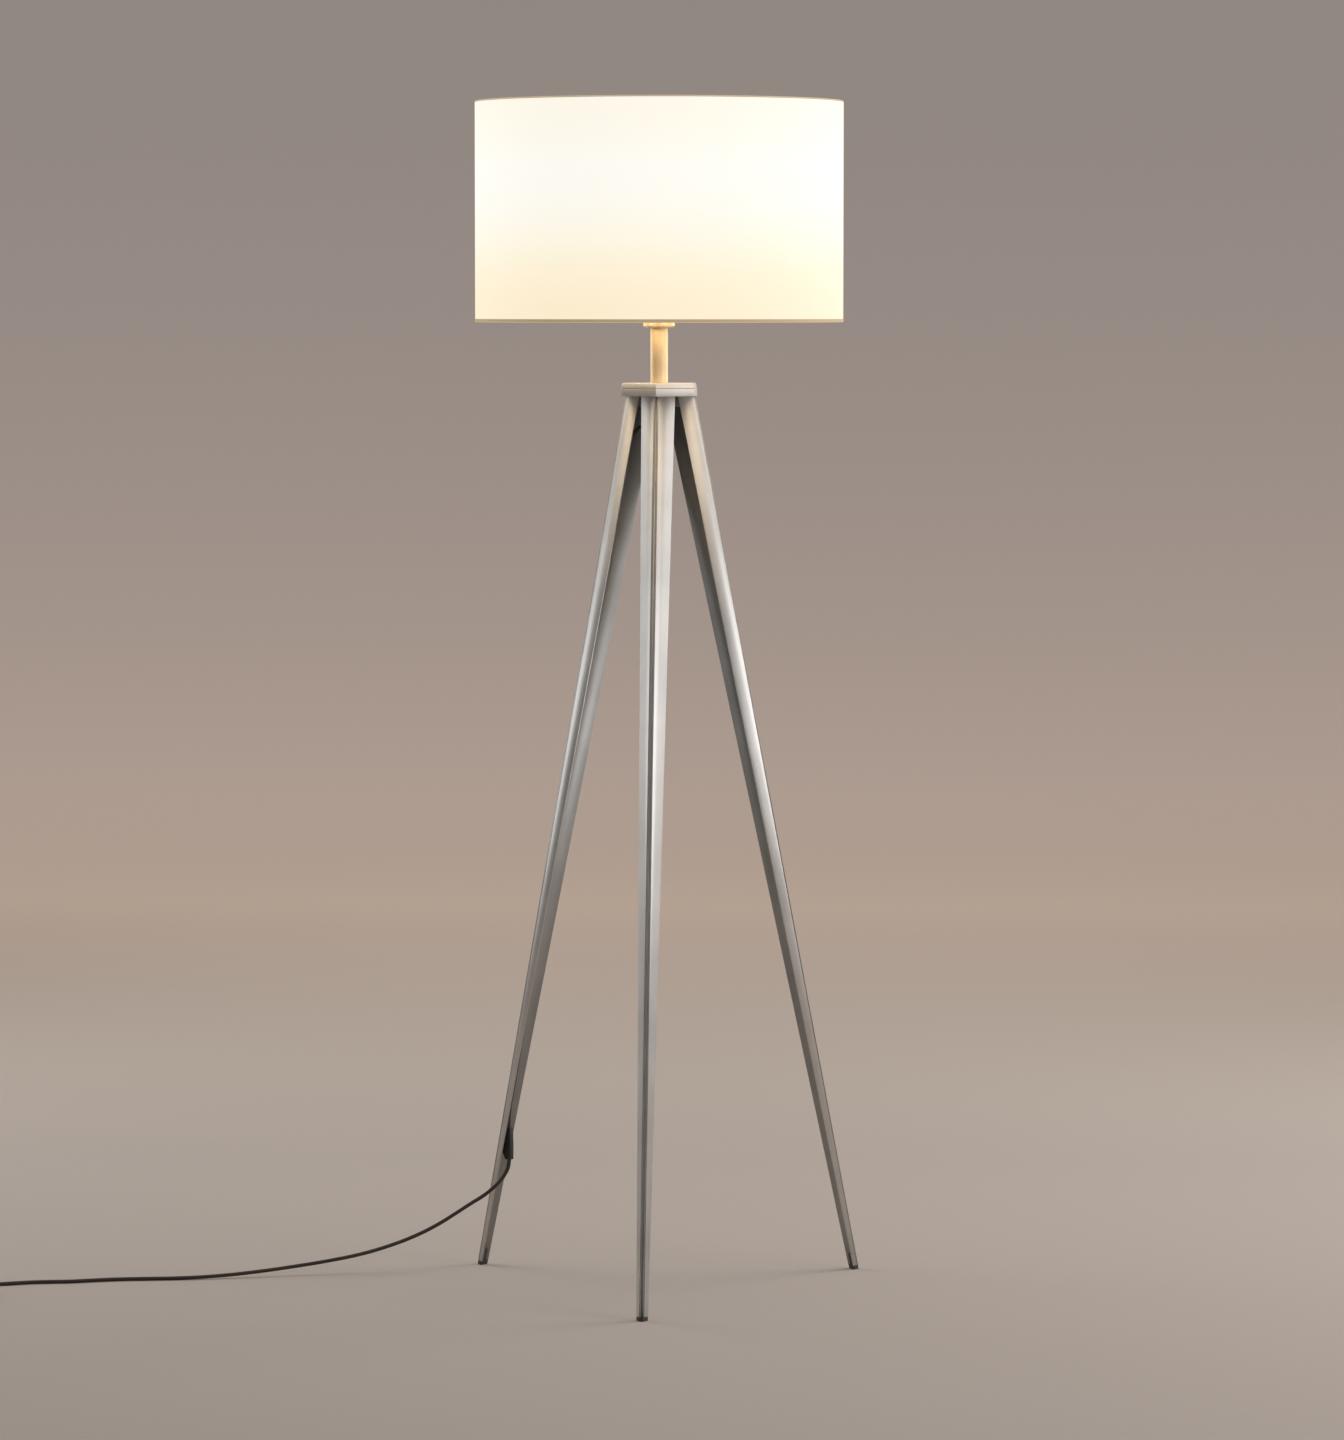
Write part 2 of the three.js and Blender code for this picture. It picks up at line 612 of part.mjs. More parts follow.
// Where the cable lies in a leg: just behind the groove.
const cableDepth = grooveDepth + LEG_WALL + 2 * GAP + CABLE / 2;
const cableSeat = (z, standOff = 0) => [legEdge(z) - cableDepth - standOff, z];

// [distance from the axis, height] in the plane of the left leg: down the threaded tube, across to the
// leg, down in its channel, and out of it through the strain relief.
const reliefTop = RELIEF_END + RELIEF_LENGTH;
const exitRadius = legFace(RELIEF_END) - RELIEF_STAND_OFF;
const crossing = legFace(reliefTop) + CABLE / 2;
const cableRoute = [
  [0, cableTop],
  [0, stemBottom],
  [0, nippleBottom],
  [2, nippleBottom - 10],
  [9, nippleBottom - 19],
  [20, nippleBottom - 25],
  [31, nippleBottom - 31],
  cableSeat(nippleBottom - 41, 13.5),
  cableSeat(nippleBottom - 56, 7.7),
  cableSeat(nippleBottom - 80, 2.7),
  cableSeat(nippleBottom - 115),
  cableSeat(nippleBottom - 145),
  ...[0.77, 0.6, 0.44, 0.3].map((share) => cableSeat(share * legTop)),
  cableSeat(reliefTop + 60),
  cableSeat(reliefTop + 25),
  [crossing, reliefTop],
  [(crossing + exitRadius) / 2, RELIEF_END + RELIEF_LENGTH / 2],
  [exitRadius, RELIEF_END],
];
const inLegPlane = ([r, z]) => new THREE.Vector3(0, -r, z);
const cablePoints = cableRoute.map(inLegPlane);

// The cable's line carried on below the strain relief, as a point this far under its lower end.
const reliefLean = (exitRadius - crossing) / RELIEF_LENGTH;
const belowRelief = (drop) => [exitRadius + reliefLean * drop, RELIEF_END - drop];

// The strain relief is a wedge pushed into the channel until its outer corners meet the flanges.
const reliefDepth = 2 * LEG_WALL + (RELIEF_WIDTH / 2 + GAP / Math.cos(Math.PI / 6)) / flangeSlope;

function strainRelief() {
  const around = (CABLE + BORE_FIT) / 2 + RELIEF_SHELL;
  const heel = RELIEF_END + RELIEF_HEEL;
  const wedge = acrossLeg(
    [
      [exitRadius - around, RELIEF_END],
      [exitRadius + around, RELIEF_END],
      [legEdge(heel) - reliefDepth, heel],
      [legEdge(reliefTop) - reliefDepth, reliefTop],
      [legFace(reliefTop) - RELIEF_LIP, reliefTop],
    ],
    RELIEF_WIDTH,
  );
  const bore = swept(cablePoints, CABLE + BORE_FIT, CABLE_STEPS);
  const mouth = rod(inLegPlane(belowRelief(-PAST)), inLegPlane(belowRelief(PAST)), CABLE + BORE_FIT);
  return cut(wedge, bore, mouth);
}

// ---------------------------------------------------------------- legs

const OPEN = 2 * LEG_WALL; // opens the back of a leg's hollow

function leg() {
  const [bottom, top] = [legBottom - PAST, legTop + PAST];
  const hollow = cut(legPrism(bottom, top, LEG_WALL, OPEN), grooveCore(0, bottom - PAST, top + PAST));
  const groove = edgeCutter(GROOVE_WIDTH, grooveDepth, bottom, top);
  return cut(legPrism(legBottom, legTop, 0), hollow, groove);
}

function legBlock() {
  const bottom = legTop - LEG_BLOCK_HEIGHT;
  const holeBottom = legTop - LEG_SCREW_REACH - PAST;
  const holes = screwPlaces.map(([x, y]) =>
    upright(LEG_SCREW_DIAMETER / 2 + GAP, holeBottom, legTop + PAST, 14).translate(x, y, 0),
  );
  const groove = grooveCore(GAP, bottom - PAST, legTop + PAST);
  return cut(legPrism(bottom, legTop, LEG_WALL + GAP), groove, ...holes);
}

// The pad covers the leg's end, with its outer edge cut flat, and a stub stands up in the channel.
function footPad() {
  const edge = edgeCutter(2 * LEG_SIDE_FOOT, mouthDepth, -PAST, PAD_HEIGHT + PAST);
  const foot = cut(legPrism(0, PAD_HEIGHT, 0), edge);
  const stubTop = PAD_HEIGHT + PAD_STUB;
  const stub = legPrism(PAD_HEIGHT - PAST, stubTop, LEG_WALL + GAP);
  return join(foot, cut(stub, grooveCore(GAP, PAD_HEIGHT, stubTop + PAST)));
}

for (const [name, degrees] of Object.entries(LEG_TURNS)) {
  const side = new THREE.Group();
  side.rotation.z = THREE.MathUtils.degToRad(degrees);
  lamp.add(side);
  add(side, `leg_${name}`, leg(), 'nickel');
  add(side, `leg_block_${name}`, legBlock(), 'steel');
  add(side, `foot_pad_${name}`, footPad(), 'padPlastic');
  screwPlaces.forEach(([x, y], i) => {
    const depth = PLATE_THICKNESS + GAP + LEG_SCREW_REACH;
    const screw = countersunk(LEG_SCREW_DIAMETER, LEG_SCREW_HEAD, plateTop, depth);
    add(side, `leg_screw_${name}_${i + 1}`, screw.translate(x, y, 0), 'steel');
  });
  if (name === 'left') {
    add(side, 'inner_cable', swept(cablePoints, CABLE, CABLE_STEPS), 'cordSheath');
    add(side, 'strain_relief', strainRelief(), 'blackPlastic');
  }
}

// ---------------------------------------------------------------- foot switch

const switchUnit = new THREE.Group();
switchUnit.position.set(SWITCH_X, SWITCH_Y, 0);
root.add(switchUnit);

const coverBottom = SWITCH_SPLIT + GAP;
const coverInside = SWITCH_HEIGHT - SWITCH_WALL;
const flangeTop = coverInside - GAP;
const flangeBottom = flangeTop - BUTTON_FLANGE;
const moduleTop = flangeBottom - BUTTON_TRAVEL - 2 * GAP;
const floorTop = SWITCH_WALL;
const baseScrewPlaces = [[-11.5, 25], [11.5, -25]];
const holeEnds = [-SWITCH_LENGTH, SWITCH_LENGTH].map((y) => new THREE.Vector3(0, y, SWITCH_SPLIT));
const cordHole = rod(...holeEnds, CABLE + BORE_FIT, 16);

function switchOutline(inset) {
  return roundedRectangle(SWITCH_WIDTH - 2 * inset, SWITCH_LENGTH - 2 * inset, SWITCH_CORNER - inset);
}

function baseScrew(x, y, clearance) {
  const screw = countersunk(BASE_SCREW_DIAMETER, BASE_SCREW_HEAD, 0, BASE_SCREW_LENGTH, clearance);
  return screw.rotateX(Math.PI).translate(x, y, BASE_SCREW_SUNK);
}

function switchBase() {
  const inside = raised(switchOutline(SWITCH_WALL), floorTop, SWITCH_SPLIT + PAST);
  const screws = baseScrewPlaces.map(([x, y]) => baseScrew(x, y, GAP));
  return cut(raised(switchOutline(0), 0, SWITCH_SPLIT), inside, cordHole, ...screws);
}

function switchCover() {
  const outer = raised(switchOutline(0), coverBottom, SWITCH_HEIGHT);
  const shell = cut(
    outer,
    raised(switchOutline(SWITCH_WALL), coverBottom - PAST, coverInside),
    upright(BUTTON_DIAMETER / 2 + GAP, coverInside - PAST, SWITCH_HEIGHT + PAST, 36),
    cordHole,
  );
  const posts = baseScrewPlaces.map(([x, y]) =>
    upright(BASE_SCREW_POST / 2, floorTop + GAP, coverInside + PAST, 20).translate(x, y, 0),
  );
  return cut(join(shell, ...posts), ...baseScrewPlaces.map(([x, y]) => baseScrew(x, y, GAP)));
}

function switchButton() {
  const [r, top] = [BUTTON_DIAMETER / 2, SWITCH_HEIGHT + BUTTON_PROUD];
  const flange = r + BUTTON_RIM;
  const corner = BUTTON_RIM * (1 - Math.SQRT1_2); // how far a rounded corner stands in from a square one
  const profile = [
    [0, flangeBottom],
    [flange, flangeBottom],
    [flange, flangeTop],
    [r, flangeTop],
    [r, top - BUTTON_RIM],
    [r - corner, top - corner],
    [r - BUTTON_RIM, top],
    [0, top - BUTTON_DISH],
  ];
  return turned(profile, 36);
}

// The module bridges the cord, which runs through the channel under it.
function switchModule() {
  const bottom = floorTop + GAP;
  const body = block(MODULE_WIDTH, MODULE_LENGTH, moduleTop - bottom, 0, 0, (moduleTop + bottom) / 2);
  const width = CABLE + CHANNEL_FIT;
  const channelTop = SWITCH_SPLIT + width / 2;
  const channel = block(width, MODULE_LENGTH + 2 * PAST, channelTop, 0, 0, channelTop / 2);
  return cut(body, channel);
}

// A tapered sleeve on the cord at one end of the switch.
function switchSleeve(direction) {
  const near = SWITCH_LENGTH / 2 + GAP;
  const far = near + SLEEVE_LENGTH;
  const bore = (CABLE + BORE_FIT) / 2;
  const sleeve = turned([[bore, near], [SLEEVE_WIDE / 2, near], [SLEEVE_NARROW / 2, far], [bore, far]], 20);
  return sleeve.rotateX((-direction * Math.PI) / 2).translate(0, 0, SWITCH_SPLIT);
}

add(switchUnit, 'switch_base', switchBase(), 'blackPlastic');
add(switchUnit, 'switch_cover', switchCover(), 'blackPlastic');
add(switchUnit, 'switch_button', switchButton(), 'greyPlastic');
add(switchUnit, 'switch_module', switchModule(), 'greyPlastic');
add(switchUnit, 'switch_sleeve_in', switchSleeve(1), 'blackPlastic');
add(switchUnit, 'switch_sleeve_out', switchSleeve(-1), 'blackPlastic');
baseScrewPlaces.forEach(([x, y], i) => {
  add(switchUnit, `switch_screw_${i + 1}`, baseScrew(x, y, 0), 'steel');
});

// ---------------------------------------------------------------- cord, coil, tie and plug

// The coil lies on its tie; its solid has the outer shape of the turns.
const coilBottom = TIE_THICKNESS + 2 * GAP;
const coilHalfWidth = ((COIL_TURNS_WIDE - 1) * COIL_PITCH + CABLE) / 2;
const coilInner = COIL_MEAN_RADIUS - coilHalfWidth;
const coilOuter = COIL_MEAN_RADIUS + coilHalfWidth;
const coilTop = coilBottom + (COIL_LAYERS - 1) * COIL_PITCH + CABLE;
const outerTurn = COIL_MEAN_RADIUS + ((COIL_TURNS_WIDE - 1) * COIL_PITCH) / 2;
const firstLayer = coilBottom + CABLE / 2;
const lastLayer = coilTop - CABLE / 2;

// The cord runs along the side of the coil and ends where it would touch the coil's solid.
const meets = Math.sqrt((coilOuter + CABLE / 2 + 2 * GAP) ** 2 - outerTurn ** 2);

// The cable's line below the strain relief, in the part's own frame.
const leftTurn = THREE.MathUtils.degToRad(LEG_TURNS.left);
const fromReliefEnd = (drop) => {
  const [r, z] = belowRelief(drop);
  return new THREE.Vector3(r * Math.sin(leftTurn), axisY - r * Math.cos(leftTurn), z);
};

// Chosen by hand: the cord hangs forward past the leg, comes down to the floor, wanders along it,
// rises into the foot switch and goes on to the coil.
const cordPoints = [
  [-213, 147, 133], [-217, 144, 125.5], [-223, 140.5, 117.5], [-232, 136.5, 108.5], [-244, 132, 99],
  [-258, 127.5, 90.5], [-281, 120, 76], [-304, 113.5, 62], [-334, 105, 47.5], [-367, 96, 35.5],
  [-402, 86, 26], [-443, 74, 18.5], [-487, 60.5, 12.5], [-540, 42, 7], [-590, 24.5, 3.8],
  [-634, 12, 2.7], [-676, 4, 2.7], [-718, -4.5, 2.7], [-748, -15, 2.7], [-775, -26, 2.7],
  [-802, -31, 2.7], [-826, -36.5, 2.7], [-847, -46, 2.7], [-866, -55, 2.8], [-880, -64.5, 4],
  [-888, -76, 6], [-890, -88, 7], [-890, -105, 7], [-890, -175, 7], [-890, -193, 7],
];
const cordLeadPoints = [
  fromReliefEnd(GAP),
  fromReliefEnd(6),
  ...cordPoints.map(([x, y, z]) => new THREE.Vector3(x, y, z)),
  new THREE.Vector3(COIL_X + outerTurn, COIL_Y + meets, firstLayer),
];

// The far end leaves the coil's upper layer and goes into the plug beside it.
const plugAxis = PLUG_THICKNESS / 2 + GAP;
const cordTailPoints = [
  new THREE.Vector3(COIL_X - outerTurn, COIL_Y + meets, lastLayer),
  new THREE.Vector3(COIL_X - outerTurn + 1, COIL_Y + meets + 9, (lastLayer + plugAxis) / 2),
  new THREE.Vector3(PLUG_X - 1, PLUG_Y - 14, plugAxis),
  new THREE.Vector3(PLUG_X, PLUG_Y - 6, plugAxis),
  new THREE.Vector3(PLUG_X, PLUG_Y - GAP, plugAxis),
];

// A band round the coil's section, on its front side.
function cordTie() {
  const bow = coilInner - Math.sqrt(coilInner ** 2 - (TIE_WIDTH / 2) ** 2); // of the coil under the band
  const width = coilOuter - coilInner + 2 * (GAP + bow);
  const height = coilTop - coilBottom + 2 * GAP;
  const band = roundedRectangle(width + 2 * TIE_THICKNESS, height + 2 * TIE_THICKNESS, TIE_CORNER);
  const inside = block(width, height, TIE_WIDTH + 2 * PAST, 0, 0, 0);
  const body = cut(raised(band, -TIE_WIDTH / 2, TIE_WIDTH / 2), inside);
  body.rotateX(Math.PI / 2).rotateZ(Math.PI / 2);
  return body.translate(COIL_X, COIL_Y - COIL_MEAN_RADIUS, (coilBottom + coilTop) / 2);
}

function plugBody() {
  const [tail, face] = [PLUG_TAIL / 2, PLUG_FACE / 2];
  const [chamfer, waist] = [PLUG_CHAMFER, PLUG_LENGTH * 0.45];
  const outline = new THREE.Shape();
  outline.moveTo(-tail, 0);
  outline.lineTo(tail, 0);
  outline.quadraticCurveTo(tail + chamfer, waist, face, PLUG_LENGTH - PLUG_RIM);
  outline.lineTo(face, PLUG_LENGTH - chamfer);
  outline.lineTo(face - chamfer, PLUG_LENGTH);
  outline.lineTo(-face + chamfer, PLUG_LENGTH);
  outline.lineTo(-face, PLUG_LENGTH - chamfer);
  outline.lineTo(-face, PLUG_LENGTH - PLUG_RIM);
  outline.quadraticCurveTo(-tail - chamfer, waist, -tail, 0);
  return raised(outline, GAP, GAP + PLUG_THICKNESS, 6).translate(PLUG_X, PLUG_Y, 0);
}

// A pin with a round nose, standing off the plug's face.
function plugPin(side) {
  const r = PIN_DIAMETER / 2;
  const shoulder = PIN_LENGTH - 0.7 * r;
  const pin = turned([[0, 0], [r, 0], [r, shoulder], [r / 2, PIN_LENGTH - 0.15 * r], [0, PIN_LENGTH]], 16);
  pin.rotateX(-Math.PI / 2);
  return pin.translate(PLUG_X + (side * PIN_SPACING) / 2, PLUG_Y + PLUG_LENGTH + GAP, plugAxis);
}

const coil = ring(coilInner, coilOuter, coilBottom, coilTop, 48).translate(COIL_X, COIL_Y, 0);

add(root, 'cord_lead', swept(cordLeadPoints, CABLE, 80), 'cordSheath');
add(root, 'cord_coil', coil, 'cordSheath');
add(root, 'cord_tie', cordTie(), 'blackPlastic');
add(root, 'cord_tail', swept(cordTailPoints, CABLE, 8), 'cordSheath');
add(root, 'plug_body', plugBody(), 'blackPlastic');
add(root, 'plug_pin_1', plugPin(-1), 'steel');
add(root, 'plug_pin_2', plugPin(1), 'steel');

export default root;
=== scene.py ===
# %% [markdown]
# # A tripod floor lamp
# The lamp has a lit drum shade on a short stem, a hexagonal hub and three legs folded from sheet metal.
# Its engineering model is already there as a frame: every part has its place and its size. Here each
# part gets the shape and finish that the eye sees. Units are metres, Z is up, and the front leg points
# to -Y.

# %% Load the frame and measure it
import json
from math import atan2, cos, exp, hypot, pi, radians, sin, tan

import bmesh
import bpy
from mathutils import Matrix, Vector


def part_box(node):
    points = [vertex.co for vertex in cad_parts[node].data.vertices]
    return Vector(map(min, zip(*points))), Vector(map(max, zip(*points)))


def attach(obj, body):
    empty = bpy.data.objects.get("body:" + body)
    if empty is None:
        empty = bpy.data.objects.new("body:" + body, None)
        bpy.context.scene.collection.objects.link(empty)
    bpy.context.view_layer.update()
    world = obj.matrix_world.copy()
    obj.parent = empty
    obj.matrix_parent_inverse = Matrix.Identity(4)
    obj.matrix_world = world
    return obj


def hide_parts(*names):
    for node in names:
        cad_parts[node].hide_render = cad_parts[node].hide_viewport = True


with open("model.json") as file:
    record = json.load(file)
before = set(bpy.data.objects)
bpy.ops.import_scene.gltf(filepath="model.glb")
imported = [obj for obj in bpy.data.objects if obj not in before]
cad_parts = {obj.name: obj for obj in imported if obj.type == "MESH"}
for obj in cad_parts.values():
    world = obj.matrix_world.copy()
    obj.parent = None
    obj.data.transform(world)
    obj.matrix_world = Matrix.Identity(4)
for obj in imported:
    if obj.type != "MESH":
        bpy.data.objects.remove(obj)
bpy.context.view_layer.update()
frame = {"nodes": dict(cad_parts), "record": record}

MM = 0.001
shade_low, shade_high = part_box("shade_drum")
AXIS_Y = (shade_low.y + shade_high.y) / 2
AXIS = Vector((0, AXIS_Y, 0))
print("the lamp's axis is at y =", round(AXIS_Y, 5))

# %% [markdown]
# ## Camera
# The lamp is seen from almost eight metres away through a long lens, a little from its right and from
# below the shade's middle. A long lens keeps the legs straight and the shade's rims nearly flat.

# %% Camera
CAMERA_PLACE = (0.6015, -7.768, 1.2907)
CAMERA_DROP = 3.99
CAMERA_TURN = 4.29
LENS = 149.6

camera_data = bpy.data.cameras.new("camera")
camera_data.lens = LENS
camera_data.sensor_width = 36
camera = bpy.data.objects.new("camera", camera_data)
camera.location = CAMERA_PLACE
camera.rotation_euler = (radians(90 - CAMERA_DROP), 0, radians(CAMERA_TURN))
bpy.context.collection.objects.link(camera)
bpy.context.scene.camera = camera
bpy.context.scene.view_settings.view_transform = "Standard"

# %% [markdown]
# ## Writing shader maths as sums
# A material is a graph of nodes. Wiring it one Math node at a time hides the idea, so a small class
# wraps a socket and overloads the operators: `1 - mask * 0.3` then adds its own Math nodes. Every
# other node comes from one method, which sets the node's settings first and its inputs after.

# %% A socket that can be added and multiplied
class Value:
    def __init__(self, finish, socket):
        self.finish = finish
        self.socket = socket

    def math(self, operation, *values):
        return self.finish.node("ShaderNodeMath", {"operation": operation}, list(values))

    def __add__(self, other):
        return self.math("ADD", self, other)

    def __radd__(self, other):
        return self.math("ADD", other, self)

    def __sub__(self, other):
        return self.math("SUBTRACT", self, other)

    def __rsub__(self, other):
        return self.math("SUBTRACT", other, self)

    def __mul__(self, other):
        return self.math("MULTIPLY", self, other)

    def __rmul__(self, other):
        return self.math("MULTIPLY", other, self)

    def __truediv__(self, other):
        return self.math("DIVIDE", self, other)

    def sine(self):
        return self.math("SINE", self)

    def size(self):
        return self.math("ABSOLUTE", self)

    def between(self, low, high):
        settings = {"interpolation_type": "SMOOTHSTEP", "clamp": True}
        return self.finish.node("ShaderNodeMapRange", settings, {"Value": self, "From Min": low, "From Max": high})


# %% A finish: one Principled shader and the nodes that feed it
class Finish:
    def __init__(self, name, **uniform):
        self.material = bpy.data.materials.new(name)
        self.material.use_nodes = True
        self.nodes = self.material.node_tree.nodes
        self.links = self.material.node_tree.links
        self.shader = self.nodes["Principled BSDF"]
        for words, value in uniform.items():
            self.shader.inputs[words.replace("_", " ")].default_value = value

    def node(self, kind, settings=None, inputs=None, output=0):
        node = self.nodes.new(kind)
        for key, value in (settings or {}).items():
            if key == "stops":
                for spare in list(node.color_ramp.elements)[1:]:
                    node.color_ramp.elements.remove(spare)
                for i, (place, colour) in enumerate(value):
                    stop = node.color_ramp.elements[0] if i == 0 else node.color_ramp.elements.new(place)
                    stop.position = place
                    stop.color = (*colour, 1)
            else:
                setattr(node, key, value)
        pairs = inputs.items() if isinstance(inputs, dict) else enumerate(inputs or [])
        for key, value in pairs:
            if isinstance(value, Value):
                self.links.new(value.socket, node.inputs[key])
            else:
                node.inputs[key].default_value = value
        return Value(self, node.outputs[output])

    def feed(self, socket, value):
        self.links.new(value.socket, self.shader.inputs[socket])

    def place(self, scale=(1, 1, 1), turn=(0, 0, 0), shift=(0, 0, 0)):
        coordinates = self.node("ShaderNodeTexCoord", output=3)
        inputs = {"Vector": coordinates, "Scale": scale, "Rotation": turn, "Location": shift}
        return self.node("ShaderNodeMapping", {}, inputs)

    def laid(self, layer, scale=(1, 1, 1)):
        flat = self.node("ShaderNodeUVMap", {"uv_map": layer})
        return self.node("ShaderNodeMapping", {}, {"Vector": flat, "Scale": scale})

    def axes(self, vector):
        split = self.node("ShaderNodeSeparateXYZ", {}, {"Vector": vector})
        node = split.socket.node
        return [Value(self, node.outputs[i]) for i in range(3)]

    def noise(self, vector, scale, detail=2, roughness=0.5):
        inputs = {"Vector": vector, "Scale": scale, "Detail": detail, "Roughness": roughness}
        return self.node("ShaderNodeTexNoise", {}, inputs)

    def mix(self, factor, first, second, blend="MIX"):
        settings = {"data_type": "RGBA", "blend_type": blend}
        return self.node("ShaderNodeMix", settings, {0: factor, 6: first, 7: second}, output=2)

    def bump(self, height, depth, strength=1.0):
        inputs = {"Height": height, "Distance": depth, "Strength": strength}
        self.feed("Normal", self.node("ShaderNodeBump", {}, inputs))


def colour(red, green, blue):
    """A linear colour from the 0-255 numbers of a paint chart."""
    def linear(v):
        v /= 255
        return v / 12.92 if v <= 0.04045 else ((v + 0.055) / 1.055) ** 2.4
    return (linear(red), linear(green), linear(blue), 1)


print("shader kit ready")

# %% [markdown]
# ## The cord
# The cord is one length of round two-core flex, 5 mm thick. It leaves the strain relief on the left
# leg, hangs to the floor, wanders off, passes through the foot switch and ends in a wound coil beside
# its plug. A Bezier curve with automatic handles is used, because it is smooth through few points,
# and a round bevel gives it its thickness.

# %% The route to the foot switch and beyond
CORD = 0.005
CORD_EXIT = (-0.21092, 0.14934, 0.146)
FREE_ROUTE = [
    (-0.2112, 0.1488, 0.1423), (-0.213, 0.147, 0.133), (-0.217, 0.144, 0.1255), (-0.223, 0.1405, 0.1175),
    (-0.232, 0.1365, 0.1085), (-0.244, 0.132, 0.099), (-0.258, 0.1275, 0.0905), (-0.281, 0.12, 0.076),
    (-0.304, 0.1135, 0.062), (-0.334, 0.105, 0.0475), (-0.367, 0.096, 0.0355), (-0.402, 0.086, 0.026),
    (-0.443, 0.074, 0.0185), (-0.487, 0.0605, 0.0125), (-0.54, 0.042, 0.007), (-0.59, 0.0245, 0.0038),
    (-0.634, 0.012, 0.0027), (-0.676, 0.004, 0.0027), (-0.718, -0.0045, 0.0027), (-0.748, -0.015, 0.0027),
    (-0.775, -0.026, 0.0027), (-0.802, -0.031, 0.0027), (-0.826, -0.0365, 0.0027), (-0.847, -0.046, 0.0027),
    (-0.866, -0.055, 0.0028), (-0.88, -0.0645, 0.004), (-0.888, -0.076, 0.006), (-0.89, -0.088, 0.007),
    (-0.89, -0.105, 0.007), (-0.89, -0.14, 0.007), (-0.89, -0.175, 0.007), (-0.89, -0.192, 0.0066),
]

# %% [markdown]
# The spare length lies in a flat coil of four and a half turns in two layers. The first layer winds
# inwards, one pitch to a turn. One inner turn climbs to the second layer on a half circle, which keeps
# it a full thickness from its neighbours, and the second layer winds out again. The turns are lifted a
# little where the tie passes under them.

# %% The coil
COIL_CENTRE = Vector((-0.9225, -0.226, 0))
COIL_OUTER = 33.2 * MM
COIL_PITCH = 5.12 * MM
COIL_LIFT = 1.4 * MM
SPIRAL_TURNS = 1.75
STEPS_PER_TURN = 16
TIE_ANGLE = -pi / 2


def coil_point(turn):
    low_z = CORD / 2 + 0.25 * MM
    inner = COIL_OUTER - COIL_PITCH * SPIRAL_TURNS
    if turn <= SPIRAL_TURNS:
        radius, height = COIL_OUTER - COIL_PITCH * turn, 0
    elif turn <= SPIRAL_TURNS + 1:
        swing = pi * (turn - SPIRAL_TURNS)
        radius = inner - COIL_PITCH / 2 * sin(swing)
        height = COIL_PITCH / 2 * (1 - cos(swing))
    else:
        radius, height = inner + COIL_PITCH * (turn - SPIRAL_TURNS - 1), COIL_PITCH
    angle = -2 * pi * turn
    from_tie = (angle - TIE_ANGLE + pi) % (2 * pi) - pi
    lift = COIL_LIFT * exp(-((from_tie / 0.9) ** 2))
    return COIL_CENTRE + Vector((radius * cos(angle), radius * sin(angle), low_z + height + lift))


coil_turns = 2 * SPIRAL_TURNS + 1
coil_steps = round(coil_turns * STEPS_PER_TURN)
coil_route = [coil_point(coil_turns * i / coil_steps) for i in range(coil_steps + 1)]
TAIL_ROUTE = [
    (-0.9556, -0.209, 0.0079), (-0.9538, -0.197, 0.0075), (-0.9505, -0.186, 0.0072),
    (-0.9483, -0.177, 0.0071), (-0.948, -0.1703, 0.0071),
]
print("coil:", coil_turns, "turns,", len(coil_route), "points")

# %% The cord's sheath
sheath = Finish("cord_sheath", IOR=1.48, Specular_IOR_Level=0.45)
sheath_place = sheath.place()
scuffs = sheath.noise(sheath_place, 60, 4, 0.6)
grime = sheath.noise(sheath_place, 9, 3, 0.5)
sheath.feed("Base Color", sheath.mix(grime, colour(44, 34, 30), colour(62, 50, 44)))
sheath.feed("Roughness", 0.36 + scuffs * 0.22)
sheath.bump(sheath.noise(sheath_place, 900, 2), 0.06 * MM, 0.4)


# %% The cord
def along(name, points, diameter, finish, resolution=8, sides=4):
    path = bpy.data.curves.new(name, "CURVE")
    path.dimensions = "3D"
    path.resolution_u = path.render_resolution_u = resolution
    path.bevel_depth = diameter / 2
    path.bevel_resolution = sides
    path.use_fill_caps = True
    line = path.splines.new("BEZIER")
    line.bezier_points.add(len(points) - 1)
    for knot, point in zip(line.bezier_points, points):
        knot.co = point
        knot.handle_left_type = knot.handle_right_type = "AUTO"
    path.materials.append(finish.material)
    wire = bpy.data.objects.new(name, path)
    bpy.context.collection.objects.link(wire)
    return wire, line


cord, cord_line = along("cord", [CORD_EXIT, *FREE_ROUTE, *coil_route, *TAIL_ROUTE], CORD, sheath)
bpy.context.view_layer.update()
cord_length = cord_line.calc_length(resolution=64)
print("cord length along its centre line:", round(cord_length, 4), "m")

# %% [markdown]
# ## Floor, backdrop and light
# The lamp stands on a seamless sheet: a floor that curves up into a wall far behind it, so no edge
# crosses the view. The sheet's side view is drawn as a line of a few points, its corner is bevelled
# round, and the line is extruded across. The studio's lamps don't reach that far, so the sheet glows
# faintly by itself: nothing near the lamp, more with distance, warmer low down and greyer high up.

# %% The seamless sheet
SHEET_HALF_WIDTH, SHEET_FRONT, SHEET_BACK, SHEET_HEIGHT = 14, -11, 9.2, 12
GLOW_REACH = 12
FAR_GLOW = [
    (0.0, (174, 158, 147), 0.0), (1.2, (174, 158, 147), 0.02), (3.3, (182, 162, 145), 0.36), (5.0, (186, 164, 146), 0.58),
    (7.0, (180, 160, 148), 0.62), (9.4, (165, 153, 148), 0.5), (10.6, (155, 148, 145), 0.47), (12.0, (150, 147, 145), 0.46),
]

